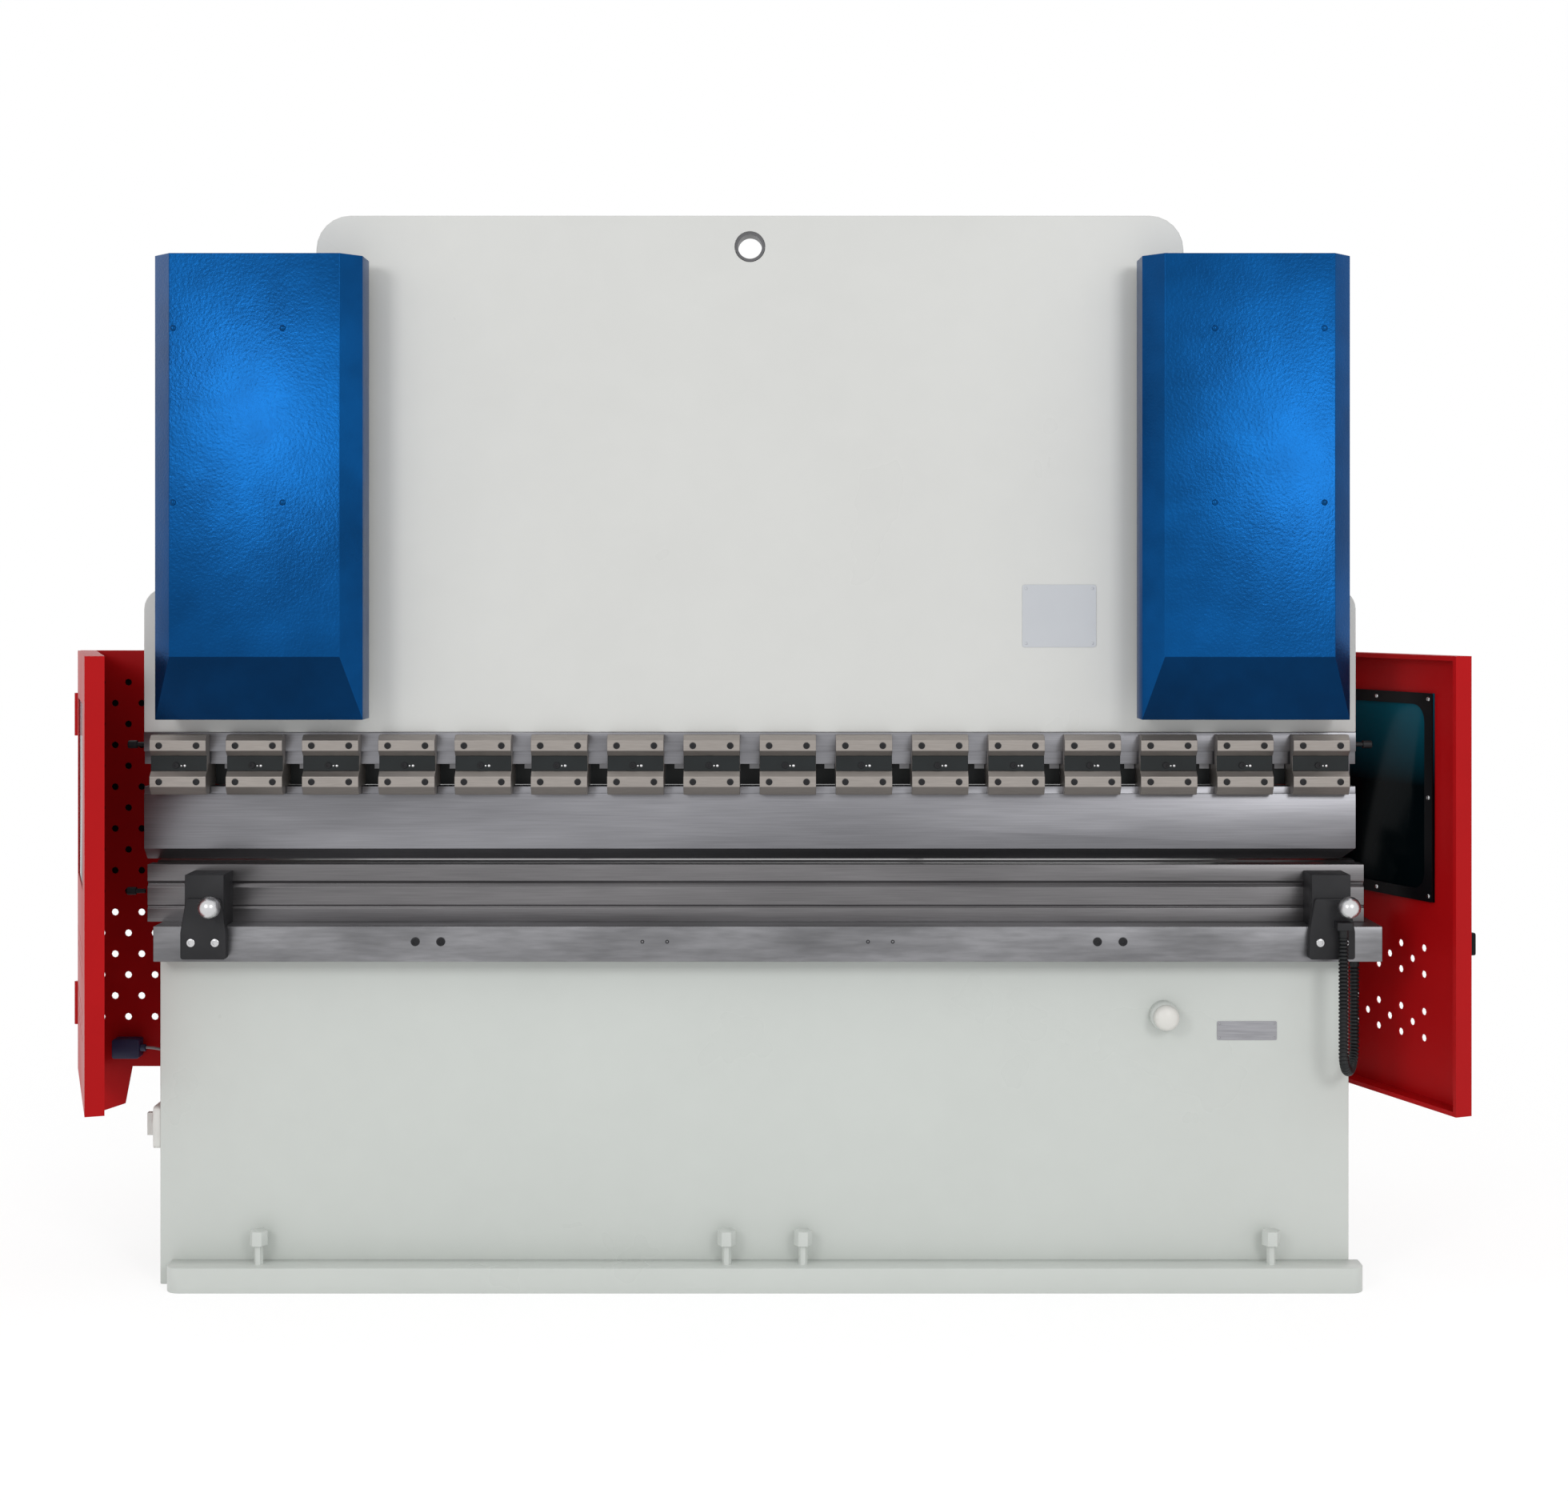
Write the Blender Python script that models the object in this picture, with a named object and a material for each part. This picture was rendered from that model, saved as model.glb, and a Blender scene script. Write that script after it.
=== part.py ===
"""Hydraulic press brake, 3.2 m bending length, built from separate named pieces.

Metres, +Z up. X runs along the bend, Y points to the rear with Y = 0 on the bend line,
and Z = 0 is the floor. The ram is drawn at the bottom of its stroke.
"""
import math

import bmesh
import bpy
from mathutils import Matrix, Vector

# Fits between pieces
GAP = 0.0003
RUN = 0.0006

# Ram, tooling and bed, as a stack from the floor upwards
RAM_LENGTH = 3.200
RAM_THICK = 0.070
RAM_HEIGHT = 1.364
SHOULDER_WIDTH = 0.455
RAM_TOP_RADIUS = 0.090
SHOULDER_HEIGHT = 0.380
SHOULDER_RADIUS = 0.055
LIFT_HOLE_RADIUS = 0.040
LIFT_HOLE_DROP = 0.082
STROKE = 0.190
BED_SHORTER = 0.083
BED_SHIFT = 0.0125
BED_HEIGHT = 0.8587
BED_FRONT = -0.075
BED_REAR = 0.045
FOOT_SHORTER = 0.091
FOOT_SHIFT = 0.040
FOOT_HEIGHT = 0.065
FOOT_FRONT = -0.155
FOOT_RADIUS = 0.050
BOLT_RADIUS = 0.012
BOLT_STAND = 0.050
BOLT_HEAD = 0.038
RAIL_SHORTER = 0.023
RAIL_SHIFT = 0.048
RAIL_HEIGHT = 0.091
RAIL_FRONT = -0.160
RAIL_REAR = 0.110
DIE_SIZE = 0.150
DIE_SHORTER = 0.010
DIE_SHIFT = 0.0155
TOOL_GAP = 0.007
PUNCH_HEIGHT = 0.194
PUNCH_TANG = 0.060
PUNCH_TANG_HEIGHT = 0.019
PUNCH_BODY = 0.066
PUNCH_TIP_HEIGHT = 0.030
PUNCH_END_BEVEL = 0.032
HOLDER_HEIGHT = 0.0590
BAR_HEIGHT = 0.0840
BAR_STEP_HEIGHT = 0.034
BAR_STEP = 0.008
CLAMP_COUNT = 16
CLAMP_WIDTH = 0.148
CLAMP_REACH = 0.042
CLAMP_BEVEL = 0.014
CLAMP_UPPER = 0.055
CLAMP_LOWER = 0.062

# Side frames, cylinders and covers
RAM_CLEARANCE = 0.055
COLUMN_THICK = 0.060
FRAME_DEPTH = 1.200
FRAME_TOP = 2.620
THROAT_BACK = 0.350
THROAT_LOW = 0.820
THROAT_HIGH = 1.600
THROAT_RADIUS = 0.110
GUIDE_THICK = 0.034
CYLINDER_RADIUS = 0.130
CYLINDER_LENGTH = 0.580
CYLINDER_LIFT = 0.012
ROD_RADIUS = 0.055
ROD_INSIDE = 0.250
BORE_SPARE = 0.020
COVER_REACH_IN = {"left": 0.335, "right": 0.3175}
COVER_WIDTH = 0.535
COVER_STAND_OFF = 0.055
COVER_FLANGE = 0.090
COVER_CHAMFER = 0.050
COVER_SHEET = 0.003
COVER_TOP = 2.680
COVER_SLOPE_TOP = 1.647
COVER_BOTTOM = 1.485
COVER_SCREW_SPREAD = 0.280
COVER_STRAP = 0.024
COVER_SCREW_HEIGHTS = (2.043, 2.488)

# Hydraulics, torsion shaft and back gauge behind the ram
TANK_FRONT = 0.450
TANK_REAR = 0.950
TANK_BOTTOM = 2.000
TANK_HEIGHT = 0.450
TANK_SLANT = 0.100
TANK_RADIUS = 0.020
MOTOR_RADIUS = 0.130
MOTOR_HEIGHT = 0.300
MOTOR_X = -0.450
MOTOR_FOOT = 0.020
FIN_COUNT = 6
VALVE_X = 0.300
VALVE_LENGTH = 0.320
VALVE_DEPTH = 0.200
VALVE_HEIGHT = 0.140
COIL_RADIUS = 0.030
COIL_LENGTH = 0.100
BEAM_LOW = 0.200
BEAM_HEIGHT = 0.250
BEAM_DEPTH = 0.180
BEAM_INSET = 0.040
BEAM_WALL = 0.015
TORSION_Y = 0.330
TORSION_RADIUS = 0.040
TORSION_REACH = 0.230
TORSION_ARM_INSET = 0.295
TORSION_ARM_THICK = 0.040
TORSION_PIN_RADIUS = 0.020
TORSION_PIN_LIFT = 0.250
TORSION_SLOT_PLAY = 0.004
GAUGE_X = 0.700
GAUGE_RAIL_END = 0.850
GAUGE_RAIL_LOW = 0.680
GAUGE_RAIL_HIGH = 0.760
GAUGE_SCREW_RADIUS = 0.013
GAUGE_RAIL_WIDTH = 0.080
GAUGE_BLOCK = 0.030
GAUGE_BLOCK_HEIGHT = 0.080
GAUGE_SCREW_LIFT = 0.045
CARRIAGE_FRONT = 0.400
CARRIAGE_DEPTH = 0.100
CARRIAGE_WIDTH = 0.090
GAUGE_BEAM_LENGTH = 1.700
GAUGE_BEAM_HEIGHT = 0.080
GAUGE_BEAM_DROP = 0.120
FINGER_X = 0.450
FINGER_WIDTH = 0.040
FINGER_STAND_OFF = 0.065
FINGER_LIFT = 0.020

# Guards, die clamps, controls and cords
GUARD_LOW = 0.478
GUARD_HIGH = 1.651
GUARD_HINGE_Y = 0.370
LEFT_HINGE_OUT = 0.303
RIGHT_HINGE_IN = 0.006
LEFT_DOOR_ANGLE = math.radians(19.0)
RIGHT_DOOR_ANGLE = math.radians(22.4)
DOOR_WIDTH = 0.655
DOOR_FLANGE = 0.049
DOOR_SHEET = 0.003
DOOR_START = 0.025
KNUCKLE_RADIUS = 0.008
KNUCKLE_LENGTH = 0.120
WINDOW_LOW = 1.005
WINDOW_HIGH = 1.550
WINDOW_START = 0.055
WINDOW_END = 0.515
WINDOW_LAP = 0.028
PANE_THICK = 0.006
PANEL_SHEET = 0.004
HOLE_RADIUS = 0.010
HOLE_SIDES = 8
DOOR_HOLE_ROW_PITCH = 0.0345
DOOR_HOLE_LOWS = (0.644, 0.811)
DOOR_HOLE_MARGINS = (0.185, 0.065)
PANEL_HOLE_MARGINS = (0.140, 0.090)
PANEL_HOLE_INSETS = (0.060, 0.100)
TAB_START = 0.075
TAB_WIDTH = 0.080
TAB_LENGTH = 0.125
LEFT_DIE_CLAMP_INSET = 0.195
RIGHT_DIE_CLAMP_INSET = 0.099
DIE_CLAMP_HALF = 0.0585
DIE_CLAMP_TOP_HALF = 0.044
DIE_CLAMP_THICK = 0.025
DIE_CLAMP_RADIUS = 0.006
KNOB_OFFSET = 0.030
KNOB_HEIGHT = 1.010
KNOB_RADIUS = 0.029
KNOB_STAND_OFF = 0.055
SPINDLE_RADIUS = 0.010
SPINDLE_DEPTH = 0.015
SWITCH_SIZE = 0.110
SWITCH_HEIGHT = 0.408
SWITCH_DEPTH = 0.020
SWITCH_KNOB_RADIUS = 0.033
BUTTON_X = 1.085
BUTTON_HEIGHT = 0.707
BUTTON_RADIUS = 0.033
BUTTON_TRAVEL = 0.006
COLLAR_RADIUS = 0.038
COLLAR_DEPTH = 0.034
STEM_RADIUS = 0.015
CONDUIT_CLIP_OFFSET = 0.023
CONDUIT_END_INSET = 0.056
CONDUIT_END_Y = -0.095
CONDUIT_LOW = 0.575
CONDUIT_RADIUS = 0.013
CONDUIT_BORE = 0.009
CONDUIT_RIB = 0.0022
CONDUIT_RIB_PITCH = 0.011
CABLE_RADIUS = 0.004

# Places worked out from the sizes above
RAM_TOP_HALF = RAM_LENGTH / 2 - SHOULDER_WIDTH
BED_LENGTH = RAM_LENGTH - BED_SHORTER
FOOT_LENGTH = RAM_LENGTH - FOOT_SHORTER
RAIL_LENGTH = RAM_LENGTH - RAIL_SHORTER
DIE_LENGTH = RAM_LENGTH - DIE_SHORTER
COLUMN_X = RAM_TOP_HALF + RAM_CLEARANCE + CYLINDER_RADIUS
LEFT_HINGE_X = -RAM_LENGTH / 2 - LEFT_HINGE_OUT
RIGHT_HINGE_X = RAM_LENGTH / 2 - RIGHT_HINGE_IN
DIE_CLAMP_X = {"left": LEFT_DIE_CLAMP_INSET - RAM_LENGTH / 2, "right": RAM_LENGTH / 2 - RIGHT_DIE_CLAMP_INSET}
RAIL_TOP = BED_HEIGHT + GAP + RAIL_HEIGHT
DIE_LOW = RAIL_TOP + GAP
DIE_TOP = DIE_LOW + DIE_SIZE
PUNCH_TIP = DIE_TOP + TOOL_GAP
PUNCH_TOP = PUNCH_TIP + PUNCH_HEIGHT
BAR_LOW = PUNCH_TOP + HOLDER_HEIGHT
RAM_LOW = BAR_LOW + BAR_HEIGHT + GAP
SHOULDER_TOP = RAM_LOW + SHOULDER_HEIGHT
BED_LEFT = BED_SHIFT - BED_LENGTH / 2
RAIL_RIGHT = RAIL_SHIFT + RAIL_LENGTH / 2
RAM_FRONT = -RAM_THICK / 2
RAM_REAR = RAM_THICK / 2
FRAME_FRONT = RAM_REAR + GUIDE_THICK + 2 * GAP
CYLINDER_LOW = SHOULDER_TOP + STROKE + CYLINDER_LIFT
COLUMN_OUTER = COLUMN_X + COLUMN_THICK / 2
COLUMN_INNER = COLUMN_X - COLUMN_THICK / 2
TORSION_ARM_X = COLUMN_INNER - TORSION_ARM_INSET
POCKET_FRONT = CYLINDER_RADIUS + GAP
PIN_Y = TORSION_Y - TORSION_REACH
PIN_Z = RAM_LOW + TORSION_PIN_LIFT
TORSION_Z = PIN_Z + STROKE / 2
COVER_REAR = RAM_FRONT - COVER_STAND_OFF
COVER_FACE = COVER_REAR - COVER_FLANGE - COVER_CHAMFER
SIDES = (("left", -1), ("right", 1))

for old in list(bpy.data.objects):
    bpy.data.objects.remove(old, do_unlink=True)


def paint(name, colour, roughness, metallic=0.0):
    """A Principled material for one finish."""
    material = bpy.data.materials.new(name)
    material.use_nodes = True
    shader = material.node_tree.nodes["Principled BSDF"]
    shader.inputs["Base Color"].default_value = (*colour, 1.0)
    shader.inputs["Roughness"].default_value = roughness
    shader.inputs["Metallic"].default_value = metallic
    return material


IVORY = paint("ivory_paint", (0.78, 0.78, 0.75), 0.35)
BLUE = paint("blue_paint", (0.01, 0.10, 0.37), 0.35)
RED = paint("red_paint", (0.42, 0.01, 0.01), 0.40)
STEEL = paint("ground_steel", (0.45, 0.46, 0.48), 0.35, 0.9)
CLAMP_STEEL = paint("clamp_steel", (0.42, 0.39, 0.36), 0.45, 0.8)
BLACK = paint("black_oxide", (0.02, 0.02, 0.022), 0.45, 0.3)
CHROME = paint("polished_steel", (0.70, 0.70, 0.72), 0.12, 1.0)
TINT = paint("tinted_window", (0.01, 0.07, 0.09), 0.10)
NAVY = paint("navy_plastic", (0.02, 0.03, 0.10), 0.50)
GREY = paint("grey_plastic", (0.30, 0.30, 0.31), 0.60)


def add(name, mesh_builder, material, parent=None):
    """A named object whose mesh is made by mesh_builder(bm)."""
    mesh = bpy.data.meshes.new(name)
    bm = bmesh.new()
    mesh_builder(bm)
    bmesh.ops.remove_doubles(bm, verts=bm.verts, dist=1e-6)
    bmesh.ops.recalc_face_normals(bm, faces=bm.faces)
    bm.to_mesh(mesh)
    bm.free()
    mesh.materials.append(material)
    thing = bpy.data.objects.new(name, mesh)
    bpy.context.scene.collection.objects.link(thing)
    thing.parent = parent
    return thing


def place(axis, a, b, c):
    """The point with c along the axis and (a, b) across it."""
    if axis == "X":
        return (c, a, b)
    if axis == "Y":
        return (a, c, b)
    return (a, b, c)


def fill_prism(bm, outline, axis, start, end):
    """Extrude a closed outline along an axis, from start to end."""
    low = [bm.verts.new(place(axis, a, b, start)) for a, b in outline]
    high = [bm.verts.new(place(axis, a, b, end)) for a, b in outline]
    bm.faces.new(low)
    bm.faces.new(high)
    for i in range(len(outline)):
        j = (i + 1) % len(outline)
        bm.faces.new((low[i], low[j], high[j], high[i]))


def prism(name, outline, axis, start, end, material, parent=None):
    return add(name, lambda bm: fill_prism(bm, outline, axis, start, end), material, parent)


def box(name, low, high, material, parent=None):
    outline = [(low[0], low[1]), (high[0], low[1]), (high[0], high[1]), (low[0], high[1])]
    return prism(name, outline, "Z", low[2], high[2], material, parent)


def circle(centre, radius, steps=24):
    """Points of a circle in an outline's plane."""
    turn = 2 * math.pi / steps
    return [(centre[0] + radius * math.cos(i * turn), centre[1] + radius * math.sin(i * turn))
            for i in range(steps)]


def rod(name, centre, radius, axis, start, end, material, steps=24, parent=None):
    thing = prism(name, circle(centre, radius, steps), axis, start, end, material, parent)
    thing.data.shade_smooth()
    thing.data.set_sharp_from_angle(angle=math.radians(40))
    return thing


def turned(name, profile, axis, centre, material, steps=24, parent=None):
    """Revolve (radius, distance) points about an axis through centre; end radii may be zero."""
    def build(bm):
        rings = []
        for radius, along in profile:
            if radius == 0:
                rings.append([bm.verts.new(place(axis, *centre, along))])
            else:
                points = circle(centre, radius, steps)
                rings.append([bm.verts.new(place(axis, a, b, along)) for a, b in points])
        for one, two in zip(rings, rings[1:]):
            for i in range(steps):
                j = (i + 1) % steps
                corners = [one[i % len(one)], one[j % len(one)], two[j % len(two)], two[i % len(two)]]
                bm.faces.new(list(dict.fromkeys(corners)))
        for ring in (rings[0], rings[-1]):
            if len(ring) > 1:
                bm.faces.new(ring)
    thing = add(name, build, material, parent)
    thing.data.shade_smooth()
    thing.data.set_sharp_from_angle(angle=math.radians(35))
    return thing


def rounded(points, radii, steps=6):
    """An outline whose corners are arcs; a radius of zero keeps the corner sharp."""
    outline = []
    for i, (corner, radius) in enumerate(zip(points, radii)):
        corner = Vector(corner)
        back = Vector(points[i - 1]) - corner
        ahead = Vector(points[(i + 1) % len(points)]) - corner
        if radius == 0:
            outline.append(tuple(corner))
            continue
        half = back.angle(ahead) / 2
        cut = min(radius / math.tan(half), 0.45 * min(back.length, ahead.length))
        arc = cut * math.tan(half)
        start = corner + back.normalized() * cut
        end = corner + ahead.normalized() * cut
        middle = corner + (back.normalized() + ahead.normalized()).normalized() * (arc / math.sin(half))
        first = math.atan2(start.y - middle.y, start.x - middle.x)
        sweep = math.atan2(end.y - middle.y, end.x - middle.x) - first
        sweep = (sweep + math.pi) % (2 * math.pi) - math.pi
        for k in range(steps + 1):
            angle = first + sweep * k / steps
            outline.append((middle.x + arc * math.cos(angle), middle.y + arc * math.sin(angle)))
    return outline


def combine(thing, operation, *others):
    """Join or cut a piece with hidden helper shapes."""
    for other in others:
        other.hide_render = True
        other.display_type = "WIRE"
        change = thing.modifiers.new(other.name, "BOOLEAN")
        change.operation = operation
        change.object = other
        change.solver = "EXACT"


def join(thing, *others):
    combine(thing, "UNION", *others)


def cut(thing, *others):
    combine(thing, "DIFFERENCE", *others)


def build_ram():
    """The ram plate: narrow above its shoulders, with torsion lugs and pins on the back."""
    half = RAM_LENGTH / 2
    top_half = RAM_TOP_HALF
    top = RAM_LOW + RAM_HEIGHT
    corners = [(-half, RAM_LOW), (half, RAM_LOW), (half, SHOULDER_TOP), (top_half, SHOULDER_TOP),
               (top_half, top), (-top_half, top), (-top_half, SHOULDER_TOP), (-half, SHOULDER_TOP)]
    radii = [0, 0, SHOULDER_RADIUS, 0, RAM_TOP_RADIUS, RAM_TOP_RADIUS, 0, SHOULDER_RADIUS]
    ram = prism("ram", rounded(corners, radii), "Y", RAM_FRONT, RAM_REAR, IVORY)
    hole = rod("lift_hole_cut", (0, top - LIFT_HOLE_DROP), LIFT_HOLE_RADIUS, "Y",
               RAM_FRONT - RAM_THICK, RAM_REAR + RAM_THICK, IVORY, 32)
    cut(ram, hole)
    lug_half = 2 * TORSION_PIN_RADIUS
    for side, sign in SIDES:
        inner = sign * (TORSION_ARM_X - TORSION_ARM_THICK)
        outer = sign * (TORSION_ARM_X - RUN)
        lug = box(side + "_lug_join", (min(inner, outer), RAM_REAR - RAM_THICK / 4, PIN_Z - lug_half),
                  (max(inner, outer), PIN_Y + lug_half, PIN_Z + lug_half), IVORY)
        pin_end = sign * (TORSION_ARM_X + TORSION_ARM_THICK + TORSION_PIN_RADIUS)
        pin = rod(side + "_pin_join", (PIN_Y, PIN_Z), TORSION_PIN_RADIUS, "X",
                  (inner + outer) / 2, pin_end, STEEL)
        join(ram, lug, pin)


def build_punch_line():
    """The steel edge bar under the ram, the row of clamps and the punch they hold."""
    half = RAM_LENGTH / 2
    step_top = BAR_LOW + BAR_STEP_HEIGHT
    step_face = RAM_FRONT + BAR_STEP
    skirt = PUNCH_TANG / 2 + GAP
    bar = [(step_face, BAR_LOW), (skirt, BAR_LOW), (skirt, PUNCH_TOP + GAP), (RAM_REAR, PUNCH_TOP + GAP),
           (RAM_REAR, BAR_LOW + BAR_HEIGHT),
           (RAM_FRONT, BAR_LOW + BAR_HEIGHT), (RAM_FRONT, step_top), (step_face, step_top)]
    prism("punch_rail", bar, "X", -half, half, STEEL)

    tang = PUNCH_TANG / 2
    body = PUNCH_BODY / 2
    neck = PUNCH_TOP - PUNCH_TANG_HEIGHT
    taper = PUNCH_TIP + PUNCH_TIP_HEIGHT
    tip_half = 0.0008
    profile = [(-tip_half, PUNCH_TIP), (tip_half, PUNCH_TIP), (tang, taper), (tang, PUNCH_TOP),
               (-tang, PUNCH_TOP), (-tang, neck), (-body, neck), (-body, taper)]
    punch = prism("punch", profile, "X", -half, half, STEEL)
    corner = [(half + 0.01, PUNCH_TIP - 0.01), (half + 0.01, PUNCH_TIP + PUNCH_END_BEVEL + 0.01),
              (half - PUNCH_END_BEVEL - 0.01, PUNCH_TIP - 0.01)]
    cut(punch, prism("punch_corner_cut", corner, "Y", -PUNCH_BODY, PUNCH_BODY, STEEL))

    face = RAM_FRONT - CLAMP_REACH
    shelf = face + CLAMP_BEVEL
    middle = shelf + 0.003
    holder_top = BAR_LOW - GAP
    holder_low = PUNCH_TOP + GAP
    upper_low = BAR_LOW + BAR_STEP_HEIGHT - 0.010
    upper_top = upper_low + CLAMP_UPPER
    lower_top = upper_low - 0.040
    lower_low = lower_top - CLAMP_LOWER
    grip = -body - GAP
    bar_grip = RAM_FRONT - GAP
    outline = [(tang, holder_low), (tang, holder_top), (bar_grip, holder_top), (bar_grip, upper_top),
               (shelf, upper_top), (face, upper_top - CLAMP_BEVEL), (face, upper_low + CLAMP_BEVEL),
               (shelf, upper_low), (middle, upper_low), (middle, lower_top), (shelf, lower_top),
               (face, lower_top - CLAMP_BEVEL), (face, lower_low + 1.5 * CLAMP_BEVEL),
               (shelf, lower_low), (grip, lower_low), (grip, holder_low)]
    pitch = RAM_LENGTH / CLAMP_COUNT
    for number in range(CLAMP_COUNT):
        centre = (number + 0.5) * pitch - half
        prism(f"punch_clamp_{number + 1:02d}", outline, "X",
              centre - CLAMP_WIDTH / 2, centre + CLAMP_WIDTH / 2, CLAMP_STEEL)


def groove(corner, way, inward, width):
    """Three points of a V groove of a given width, centred on corner, along a block's face."""
    half = width / 2
    return [(corner[0] - way[0] * half, corner[1] - way[1] * half),
            (corner[0] + inward[0] * half, corner[1] + inward[1] * half),
            (corner[0] + way[0] * half, corner[1] + way[1] * half)]


def build_bed():
    """Bed plate, bolted foot ledge, steel rail and the block die with grooves on its four faces."""
    box("bed", (BED_LEFT, BED_FRONT, 0), (BED_LEFT + BED_LENGTH, BED_REAR, BED_HEIGHT), IVORY)
    box("table_rail", (RAIL_RIGHT - RAIL_LENGTH, RAIL_FRONT, BED_HEIGHT + GAP),
        (RAIL_RIGHT, RAIL_REAR, RAIL_TOP), STEEL)

    back = BED_FRONT - GAP
    foot_left = FOOT_SHIFT - FOOT_LENGTH / 2
    foot_right = FOOT_SHIFT + FOOT_LENGTH / 2
    ledge = [(foot_left, back), (foot_left, FOOT_FRONT), (foot_right, FOOT_FRONT), (foot_right, back)]
    foot = prism("bed_foot", rounded(ledge, [0, FOOT_RADIUS, FOOT_RADIUS, 0]), "Z", 0, FOOT_HEIGHT, IVORY)
    for number, bolt_x in enumerate((-0.424, -0.032, 0.032, 0.424)):
        centre = (FOOT_SHIFT + bolt_x * FOOT_LENGTH, (FOOT_FRONT + back) / 2)
        head_low = FOOT_HEIGHT + BOLT_STAND
        profile = [(BOLT_RADIUS, FOOT_HEIGHT / 2), (BOLT_RADIUS, head_low), (2 * BOLT_RADIUS, head_low),
                   (2 * BOLT_RADIUS, head_low + BOLT_HEAD)]
        join(foot, turned(f"foot_bolt_join_{number}", profile, "Z", centre, IVORY, 6))

    d = DIE_SIZE / 2
    outline = [(-d, DIE_LOW)]
    outline += groove((0, DIE_LOW), (1, 0), (0, 1), 0.040)
    outline += [(d, DIE_LOW)]
    outline += groove((d, DIE_LOW + 0.040), (0, 1), (-1, 0), 0.025)
    outline += groove((d, DIE_LOW + 0.100), (0, 1), (-1, 0), 0.032)
    outline += [(d, DIE_TOP)]
    outline += groove((0, DIE_TOP), (-1, 0), (0, -1), 0.050)
    outline += [(-d, DIE_TOP)]
    outline += groove((-d, DIE_TOP - 0.051), (0, -1), (1, 0), 0.017)
    outline += groove((-d, DIE_TOP - 0.110), (0, -1), (1, 0), 0.009)
    prism("lower_die", outline, "X", DIE_SHIFT - DIE_LENGTH / 2, DIE_SHIFT + DIE_LENGTH / 2, STEEL)


def build_side_frames():
    """C-shaped side plates, the slideways for the ram, the tank and the rear beam between them."""
    pocket_low = CYLINDER_LOW - 0.060
    lower_front = BED_REAR + GAP
    corners = [(lower_front, 0), (FRAME_DEPTH, 0), (FRAME_DEPTH, 1.75), (TANK_REAR, FRAME_TOP),
               (POCKET_FRONT, FRAME_TOP), (POCKET_FRONT, pocket_low), (FRAME_FRONT, pocket_low),
               (FRAME_FRONT, THROAT_HIGH), (THROAT_BACK, THROAT_HIGH), (THROAT_BACK, THROAT_LOW),
               (lower_front, THROAT_LOW)]
    radii = [0, 0.04, 0.15, 0.10, 0.03, 0, 0.02, 0.03, THROAT_RADIUS, THROAT_RADIUS, 0.02]
    for side, sign in SIDES:
        plate = prism(side + "_side_frame", rounded(corners, radii, 4), "X",
                      sign * COLUMN_INNER, sign * COLUMN_OUTER, IVORY)
        bore = rod(side + "_torsion_bore", (TORSION_Y, TORSION_Z), TORSION_RADIUS + RUN, "X",
                   sign * (COLUMN_INNER - COLUMN_THICK), sign * (COLUMN_OUTER + COLUMN_THICK), STEEL)
        cut(plate, bore)
        box(side + "_ram_guide", (sign * COLUMN_X - COLUMN_THICK / 2, RAM_REAR + GAP, THROAT_HIGH + 0.020),
            (sign * COLUMN_X + COLUMN_THICK / 2, FRAME_FRONT - GAP, SHOULDER_TOP - 0.010), STEEL)

    inside = COLUMN_INNER - GAP
    tank_top = TANK_BOTTOM + TANK_HEIGHT
    corners = [(TANK_FRONT, TANK_BOTTOM), (TANK_REAR - TANK_SLANT, TANK_BOTTOM),
               (TANK_REAR, TANK_BOTTOM + TANK_SLANT), (TANK_REAR, tank_top), (TANK_FRONT, tank_top)]
    section = rounded(corners, [TANK_RADIUS] * 5, 3)
    prism("oil_tank", section, "X", -inside, inside, IVORY)
    beam_rear = FRAME_DEPTH - BEAM_INSET
    beam_front = beam_rear - BEAM_DEPTH
    beam_top = BEAM_LOW + BEAM_HEIGHT
    beam = box("rear_cross_beam", (-inside, beam_front, BEAM_LOW), (inside, beam_rear, beam_top), IVORY)
    hollow = box("beam_hollow_cut", (-inside * 2, beam_front + BEAM_WALL, BEAM_LOW + BEAM_WALL),
                 (inside * 2, beam_rear - BEAM_WALL, beam_top - BEAM_WALL), IVORY)
    cut(beam, hollow)

    motor_low = tank_top + GAP
    r = MOTOR_RADIUS
    motor_top = motor_low + MOTOR_HEIGHT
    core = r * 0.92
    profile = [(r * 1.15, motor_low), (r * 1.15, motor_low + MOTOR_FOOT), (core, motor_low + MOTOR_FOOT)]
    fins_low = motor_low + 1.5 * MOTOR_FOOT
    cap_low = motor_top - 3 * MOTOR_FOOT
    fin_step = (cap_low - fins_low) / (FIN_COUNT + 0.5)
    for k in range(FIN_COUNT):
        base = fins_low + k * fin_step
        profile += [(core, base), (r, base), (r, base + fin_step / 2), (core, base + fin_step / 2)]
    profile += [(core, cap_low), (r, cap_low), (r, motor_top - MOTOR_FOOT), (r * 0.8, motor_top)]
    middle_y = (TANK_FRONT + TANK_REAR) / 2
    turned("pump_motor", profile, "Z", (MOTOR_X, middle_y), BLUE)
    valve_front = middle_y - VALVE_DEPTH / 2
    block = box("valve_block", (VALVE_X, valve_front, motor_low),
                (VALVE_X + VALVE_LENGTH, valve_front + VALVE_DEPTH, motor_low + VALVE_HEIGHT), STEEL)
    for k, share in enumerate((0.28, 0.72)):
        centre = (VALVE_X + share * VALVE_LENGTH, motor_low + VALVE_HEIGHT / 2)
        coil = rod(f"valve_coil_join_{k}", centre, COIL_RADIUS, "Y", valve_front - COIL_LENGTH, middle_y, BLACK, 12)
        join(block, coil)


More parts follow.
